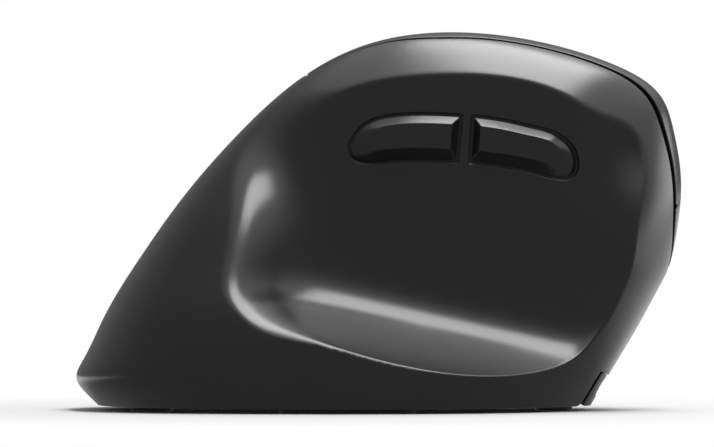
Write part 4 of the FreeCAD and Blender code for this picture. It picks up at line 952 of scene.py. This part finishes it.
class MOUSE_OT_main_keys(bpy.types.Operator):
    """The two main keys on the finger slope"""
    bl_idname = "mouse.main_keys"
    bl_label = "Main keys"

    def execute(self, context):
        form, regions = scene_form()
        body, wall = context.scene.mouse_body, context.scene.mouse_trim.key_wall / MM
        for name, way in (("primary", -1), ("secondary", 1)):
            clad(name + "_skin", name + "_button", name + "_key", "shell_plastic",
                 lambda chart: regions.key(chart, way), form.place, SPAN, body.edge_roll / MM, wall)
        return {"FINISHED"}


class MOUSE_OT_strip(bpy.types.Operator):
    """Centre strip between the keys, and the crowned speed button in it"""
    bl_idname = "mouse.strip"
    bl_label = "Strip and speed button"

    def execute(self, context):
        form, regions = scene_form()
        body, trim = context.scene.mouse_body, context.scene.mouse_trim
        clad("strip_skin", "centre_strip", "housing", "shell_plastic", regions.strip,
             form.lifted(-trim.strip_inset / MM), TOP_SPAN, body.edge_roll / MM, STRIP_WALL, spacing=0.8,
             fine=0.3)

        def crowned(chart):
            rise = trim.speed_rise / MM + .3 * eased(regions.speed(chart), 0, 2.6)
            return form.place(chart) + (rise - .2)[:, None] * normals_of(form.place, chart)
        clad("speed_skin", "speed_button", "speed_key", "shell_plastic", regions.speed, crowned, TOP_SPAN,
             .45, 2.0, spacing=0.4, fine=0.25)
        return {"FINISHED"}


class ThumbCap:
    """Form of a thumb button: a crowned face, a crisp bevel on each side and a soft end."""

    def __init__(self, opening, trim, way):
        self.opening, self.way = opening, way
        self.gap, self.face, self.drop = trim.cap_gap / MM, trim.cap_proud / MM, trim.cap_bevel / MM
        self.middle = 5.0 if way < 0 else 27.0

    def outline(self, chart):
        """Distance inside the button's own outline."""
        return self.opening.inside(-chart[:, 0], chart[:, 1]) - self.gap

    def corner(self, chart):
        """How much further up the curved side's bevel a place is than up the split's bevel."""
        curved, split = self.bevels(-chart[:, 0], chart[:, 1])
        return curved - split

    def bevels(self, x, z):
        """Shares of the way up the curved side's bevel and the split's bevel."""
        waist = 52.6 - .16 * np.maximum(x - 17, 0)
        width = 2.25 - .75 * eased(z - waist, -1.2, 1.2)
        return (self.opening.curved(x, z) - self.gap) / width, (self.opening.split(x, z) - self.gap) / 1.4

    def climb(self, chart):
        """Share of the way up the nearest bevel."""
        return np.minimum(*self.bevels(-chart[:, 0], chart[:, 1]))

    def place(self, chart):
        """Points of the button's face and bevels."""
        x, z = -chart[:, 0], chart[:, 1]
        curved, split = self.bevels(x, z)
        end = eased(x, 32.5, 36.0) if self.way > 0 else eased(-x, -.5, 3.0)
        height = soft_least(soft_least(curved, split, .05), 1.0 + 0 * x, .1 + .9 * end)
        crown = .3 * (1 - ((x - self.middle) / 13) ** 2 - ((z - 52.4) / 9) ** 2) * np.clip(height, 0, 1)
        turn = soft_most(x - 34.7, 0 * x, .08 + 2.5 * eased(z, 46.6, 49.5)) if self.way > 0 else 0
        return np.column_stack([x, -(self.face - self.drop) - self.drop * height - crown + .2 * turn, z])


class MOUSE_OT_thumb_buttons(bpy.types.Operator):
    """Back and forward buttons with bevelled faces, and the flanges that hold them behind the shell"""
    bl_idname = "mouse.thumb_buttons"
    bl_label = "Thumb buttons"

    def execute(self, context):
        form, _ = scene_form()
        wall = context.scene.mouse_body.wall / MM
        for (name, opening), way in zip(OPENINGS.items(), (-1, 1)):
            cap = ThumbCap(opening, context.scene.mouse_trim, way)
            creases = [(cap.climb, (.5, .9, 1.0, 1.1, 1.5)), (cap.corner, (-.05, 0, .05))]
            rider = name + "_button", name + "_key", "thumb_key_plastic"
            clad(name + "_skin", *rider, cap.outline, cap.place, CAP_SPAN, CAP_ROLL, CAP_WALL,
                 spacing=0.5, fine=0.25, creases=creases, grid=.4)

            def under(chart):
                points = form.place(chart)
                return opening.inside(points[:, 0], points[:, 2]) + FLANGE_REACH
            clad(name + "_flange", *rider, under, form.lifted(-wall - .15), THUMB_SPAN, CAP_ROLL, FLANGE_WALL,
                 spacing=1.2, fine=.5)
        return {"FINISHED"}


class MOUSE_OT_chin(bpy.types.Operator):
    """Gloss insert in the chin, with the charging socket's mouth"""
    bl_idname = "mouse.chin"
    bl_label = "Chin insert"

    def execute(self, context):
        form, regions = scene_form()
        clad("bezel_skin", "port_bezel", "housing", "gloss_trim", regions.bezel, form.place, SPAN, .2, 1.7,
             spacing=0.7, fine=0.3)
        return {"FINISHED"}


def swept(name, rings, material, closed=True, sharp=35):
    """Object of rings of points in millimetres, joined side by side, with its sharp edges kept."""
    rings = np.array(rings)
    count, around = rings.shape[:2]
    faces = []
    for i in range(count if closed else count - 1):
        j = (i + 1) % count
        for k in range(around):
            after = (k + 1) % around
            faces.append((i * around + k, i * around + after, j * around + after, j * around + k))
    mesh = bpy.data.meshes.new(name)
    if not closed:
        faces += [tuple(range(around))[::-1], tuple((count - 1) * around + k for k in range(around))]
    mesh.from_pydata((rings.reshape(-1, 3) * MM).tolist(), [], faces)
    tidy = bmesh.new()
    tidy.from_mesh(mesh)
    bmesh.ops.recalc_face_normals(tidy, faces=tidy.faces)
    tidy.to_mesh(mesh)
    tidy.free()
    mesh.polygons.foreach_set("use_smooth", [True] * len(mesh.polygons))
    mesh.set_sharp_from_angle(angle=math.radians(sharp))
    mesh.materials.append(material)
    return linked(name, mesh)


def from_slope(x, s, n):
    """Points in the frame from places on the finger slope."""
    y = SLOPE_AT[0] + s * math.cos(SLOPE_TILT) + n * math.sin(SLOPE_TILT)
    z = SLOPE_AT[1] - s * math.sin(SLOPE_TILT) + n * math.cos(SLOPE_TILT)
    return np.column_stack([x, y, z])


def wheel_rings(profile, radius_at, steps):
    """Rings of a wheel on the slope: a (radius, offset) profile turned about the axle."""
    rings = []
    for turn in np.linspace(0, 2 * math.pi, steps, endpoint=False):
        radius = np.array([radius_at(r, offset, turn) for r, offset in profile])
        offset = np.array([offset for _, offset in profile])
        rings.append(from_slope(WHEEL_AT[0] + radius * math.cos(turn), offset,
                                WHEEL_AT[1] + radius * math.sin(turn)))
    return rings


class MOUSE_OT_wheel(bpy.types.Operator):
    """Ribbed tyre of the scroll wheel"""
    bl_idname = "mouse.wheel"
    bl_label = "Scroll wheel"

    def execute(self, context):
        trim = context.scene.mouse_trim
        depth, count = trim.rib_depth / MM, trim.rib_count
        crown = [(12.0 - .9 * (abs(s) / 3.3) ** 4, s) for s in np.linspace(-3.3, 3.3, 15)]
        profile = [(10.03, -3.5), (10.9, -3.5)] + crown + [(10.9, 3.5), (10.03, 3.5)]

        def ribbed(radius, offset, turn):
            wave = max(0.0, math.cos(count * turn)) ** 3
            edge = 1 - eased(abs(offset), 2.7, 3.3)
            return radius - depth * wave * (edge if radius > 11 else 0)
        tyre = swept("tyre_skin", wheel_rings(profile, ribbed, count * 10), finish_of("tyre_rubber"),
                     sharp=50)
        settle(tyre, "wheel_tyre", "wheel", "tyre_rubber")
        return {"FINISHED"}


# Radii of a screw's head and shaft, and how tall the head is
SCREW_HEAD, SCREW_SHAFT, SCREW_TALL = 1.88, .98, 1.1


def cross_recess(x, y):
    """Depth of a screw's cross recess at a place on its head."""
    arm = min(abs(x), abs(y))
    along = max(abs(x), abs(y))
    return .55 * (1 - float(eased(arm, .1, .24))) * (1 - float(eased(along, .75, 1.05)))


class MOUSE_OT_screws(bpy.types.Operator):
    """Screws that show from below, with domed heads and cross recesses"""
    bl_idname = "mouse.screws"
    bl_label = "Screws"

    def execute(self, context):
        names = ["base_screw_%d" % i for i in (1, 2, 3, 4)] + ["frame_screw_%d" % i for i in (1, 2, 3)]
        for name in names:
            low, high = box_mm(name)
            x, y = (low[:2] + high[:2]) / 2
            head, shaft, tall = SCREW_HEAD, SCREW_SHAFT, SCREW_TALL
            profile = [(r, .22 * (r / head) ** 2) for r in np.arange(.06, 1.5, .06)]
            profile += [(1.6, .24), (1.72, .3), (1.82, .42), (head, .6)]
            profile += [(head, tall - .05), (head - .06, tall)]
            rings = []
            for r, rise in profile + [(shaft, tall), (shaft, high[2] - low[2] - .3), (.5, high[2] - low[2])]:
                turns = np.linspace(0, 2 * math.pi, 56, endpoint=False)
                px, py = r * np.cos(turns), r * np.sin(turns)
                dip = [cross_recess(a, b) if r < 1.3 else 0 for a, b in zip(px, py)]
                rings.append(np.column_stack([x + px, y + py, low[2] + rise + np.array(dip)]))
            thing = swept(name + "_skin", rings, finish_of("screw_steel"), closed=False)
            settle(thing, name, "housing", "screw_steel")
        return {"FINISHED"}


class MOUSE_OT_feet(bpy.types.Operator):
    """Low-friction feet with softened rims"""
    bl_idname = "mouse.feet"
    bl_label = "Feet"

    def execute(self, context):
        for name in ("front_foot", "rear_foot", "thumb_side_foot", "finger_side_foot"):
            self.pad(name)
        return {"FINISHED"}

    def pad(self, name):
        """Flat moulded pad from its solid's box, face down."""
        low, high = box_mm(name)
        middle, half = (low + high) / 2, (high - low) / 2
        radius = .98 * min(half[:2])

        def outline(chart):
            return racetrack(chart[:, 0], chart[:, 1] - middle[1], middle[0], half[0], half[1], radius)

        def place(chart):
            return np.column_stack([chart, np.full(len(chart), low[2])])
        span = (low[0] - 1.2, high[0] + 1.2, low[1] - 1.2, high[1] + 1.2)
        clad(name + "_skin", name, "housing", "foot_slider", outline, place, span, FOOT_ROLL,
             high[2] - low[2] - .02)


class MOUSE_OT_inner_finishes(bpy.types.Operator):
    """Finishes of every solid that is kept as it is: base, frame, boards, switches, battery and the rest"""
    bl_idname = "mouse.inner_finishes"
    bl_label = "Inner finishes"

    def execute(self, context):
        for part in frame["record"]["subparts"]:
            thing = frame["nodes"][part["node"]]
            thing.data.materials.clear()
            thing.data.materials.append(finish_of(part["material_slot"]))
        return {"FINISHED"}


def soft_light(name, size, power, spot, aim):
    """Area light that looks at a point."""
    lamp = bpy.data.lights.new(name, "AREA")
    lamp.shape = "RECTANGLE"
    lamp.size, lamp.size_y = size
    lamp.energy = power
    thing = linked(name, lamp)
    thing.location = spot
    thing.rotation_euler = (Vector(aim) - Vector(spot)).to_track_quat("-Z", "Y").to_euler()
    return thing


def seen_by(nodes, links, *rays):
    """Socket that is 1 for the named kinds of ray."""
    path = nodes.new("ShaderNodeLightPath")
    seen = path.outputs[rays[0]]
    for ray in rays[1:]:
        seen = sum_of(nodes, links, "MAXIMUM", seen, path.outputs[ray])
    return seen


def ramped(nodes, links, value, start, end, low, kind="SMOOTHSTEP"):
    """Socket that runs from low to 1 as a value goes from start to end."""
    ramp = nodes.new("ShaderNodeMapRange")
    ramp.interpolation_type = kind
    for socket, limit in zip(("From Min", "From Max", "To Min"), (start, end, low)):
        ramp.inputs[socket].default_value = limit
    links.new(value, ramp.inputs["Value"])
    return ramp.outputs["Result"]


SEEN = ("Is Camera Ray", "Is Glossy Ray", "Is Transmission Ray")


class MOUSE_OT_stage(bpy.types.Operator):
    """White floor and room, lights and camera"""
    bl_idname = "mouse.stage"
    bl_label = "Stage"

    def execute(self, context):
        scene, studio = context.scene, context.scene.mouse_studio
        scene.view_settings.view_transform = "Standard"
        self.room(scene, studio)
        self.floor(scene)
        soft_light("Overhead", (.68, .3), studio.overhead_power, (.14, .01, .56), (.02, 0, .04))
        soft_light("Front", (.3, .2), studio.front_power, (.6, .3, .12), (.05, 0, .03))
        self.camera(scene, studio.distance, studio.eye_level)
        return {"FINISHED"}

    def room(self, scene, studio):
        """World that is seen white, fills the shadows softly, and whose shaded side shows only in gloss."""
        world = bpy.data.worlds.new("Studio Room")
        scene.world = world
        world.use_nodes = True
        nodes, links = world.node_tree.nodes, world.node_tree.links
        dim, seen = nodes["Background"], nodes.new("ShaderNodeBackground")
        dim.inputs["Color"].default_value = (1, 1, 1, 1)
        dim.inputs["Strength"].default_value = studio.fill
        way, lean = nodes.new("ShaderNodeTexCoord"), nodes.new("ShaderNodeVectorMath")
        lean.operation = "DOT_PRODUCT"
        lean.inputs[1].default_value = (.3, .1, .95)
        links.new(way.outputs["Generated"], lean.inputs[0])
        bright = ramped(nodes, links, lean.outputs["Value"], .4, .85, studio.shade)
        plain = seen_by(nodes, links, "Is Camera Ray", "Is Transmission Ray")
        links.new(sum_of(nodes, links, "MAXIMUM", bright, plain), seen.inputs["Color"])
        mix = nodes.new("ShaderNodeMixShader")
        links.new(seen_by(nodes, links, *SEEN), mix.inputs["Fac"])
        links.new(dim.outputs[0], mix.inputs[1])
        links.new(seen.outputs[0], mix.inputs[2])
        links.new(mix.outputs[0], nodes["World Output"].inputs["Surface"])

    def floor(self, scene):
        """Floor that is white to the eye and keeps the mouse's shadow close round it; to gloss it is a glow
        with painted shade in front of the mouse.
        """
        mesh = bpy.data.meshes.new("floor")
        mesh.from_pydata([(-3, -3, 0), (3, -3, 0), (3, 3, 0), (-3, 3, 0)], [], [(0, 1, 2, 3)])
        floor = linked("floor", mesh)
        white, shader = principled("Floor White", (.9, .9, .9), .6, specular_ior_level=0.1)
        nodes, links = white.node_tree.nodes, white.node_tree.links
        kinds = "ShaderNodeTexCoord", "ShaderNodeVectorMath", "ShaderNodeSeparateXYZ"
        spot, far, split = (nodes.new(kind) for kind in kinds)
        far.operation = "LENGTH"
        links.new(spot.outputs["Object"], far.inputs[0])
        links.new(spot.outputs["Object"], split.inputs[0])
        open_floor = ramped(nodes, links, far.outputs["Value"], .05, .15, 0.0)
        # Painted shade in reflections: glossy rays see the floor as a glow, dimmed to the room's shade in
        # front of the mouse and rising to white behind it, with no shadow of the mouse
        behind = ramped(nodes, links, split.outputs["Y"], 0.0, 0.05, scene.mouse_studio.shade, "LINEAR")
        glow, mix = nodes.new("ShaderNodeEmission"), nodes.new("ShaderNodeMixShader")
        clear = seen_by(nodes, links, "Is Camera Ray", "Is Transmission Ray")
        gloss = seen_by(nodes, links, "Is Glossy Ray")
        links.new(sum_of(nodes, links, "MAXIMUM", clear, behind), glow.inputs["Strength"])
        away = sum_of(nodes, links, "MULTIPLY", open_floor, clear)
        links.new(sum_of(nodes, links, "MAXIMUM", away, gloss), mix.inputs["Fac"])
        links.new(shader.outputs[0], mix.inputs[1])
        links.new(glow.outputs[0], mix.inputs[2])
        links.new(mix.outputs[0], nodes["Material Output"].inputs["Surface"])
        mesh.materials.append(white)

    def camera(self, scene, distance, height):
        """Camera square to the thumb side, framed as the photograph: width and middles in its pixels."""
        photo_width, photo_height, pixel = 714, 447, .00019456
        middle_column, desk_row = 378.75, 410.0
        camera = bpy.data.cameras.new("Camera")
        view = linked("Camera", camera)
        scene.camera = view
        camera.lens = camera.sensor_width * distance / (photo_width * pixel)
        view.location = (0, -distance, height)
        view.rotation_euler = (math.pi / 2, 0, 0)
        camera.shift_x = (photo_width / 2 - middle_column) / photo_width
        camera.shift_y = (desk_row - photo_height / 2 - height / pixel) / photo_width


class MOUSE_PT_panel(bpy.types.Panel):
    """Sizes, finishes and pieces of the mouse"""
    bl_label = "Upright Mouse"
    bl_idname = "MOUSE_PT_panel"
    bl_space_type = "VIEW_3D"
    bl_region_type = "UI"
    bl_category = "Mouse"

    def draw(self, context):
        layout = self.layout
        for name in GROUPS:
            box = layout.box()
            group = getattr(context.scene, name)
            for prop in group.bl_rna.properties:
                if prop.identifier not in ("rna_type", "name"):
                    box.prop(group, prop.identifier)
        for operator in STEPS:
            layout.operator(operator.bl_idname)


GROUPS = {"mouse_body": BodySizes, "mouse_trim": TrimSizes, "mouse_finishes": Finishes,
          "mouse_studio": Studio}
STEPS = (MOUSE_OT_inner_finishes, MOUSE_OT_shells, MOUSE_OT_main_keys, MOUSE_OT_strip, MOUSE_OT_thumb_buttons,
         MOUSE_OT_chin, MOUSE_OT_wheel, MOUSE_OT_screws, MOUSE_OT_feet, MOUSE_OT_stage)


def register():
    """Adds the classes and the scene's settings."""
    for cls in (*GROUPS.values(), *STEPS, MOUSE_PT_panel):
        bpy.utils.register_class(cls)
    for name, group in GROUPS.items():
        setattr(bpy.types.Scene, name, PointerProperty(type=group))


def unregister():
    """Takes the settings and the classes away."""
    for name in GROUPS:
        delattr(bpy.types.Scene, name)
    for cls in reversed((*GROUPS.values(), *STEPS, MOUSE_PT_panel)):
        bpy.utils.unregister_class(cls)


def main():
    """Makes everything in order."""
    register()
    bpy.ops.mouse.inner_finishes()
    bpy.ops.mouse.shells()
    bpy.ops.mouse.main_keys()
    bpy.ops.mouse.strip()
    bpy.ops.mouse.thumb_buttons()
    bpy.ops.mouse.chin()
    bpy.ops.mouse.wheel()
    bpy.ops.mouse.screws()
    bpy.ops.mouse.feet()
    bpy.ops.mouse.stage()


if __name__ == "__main__":
    main()
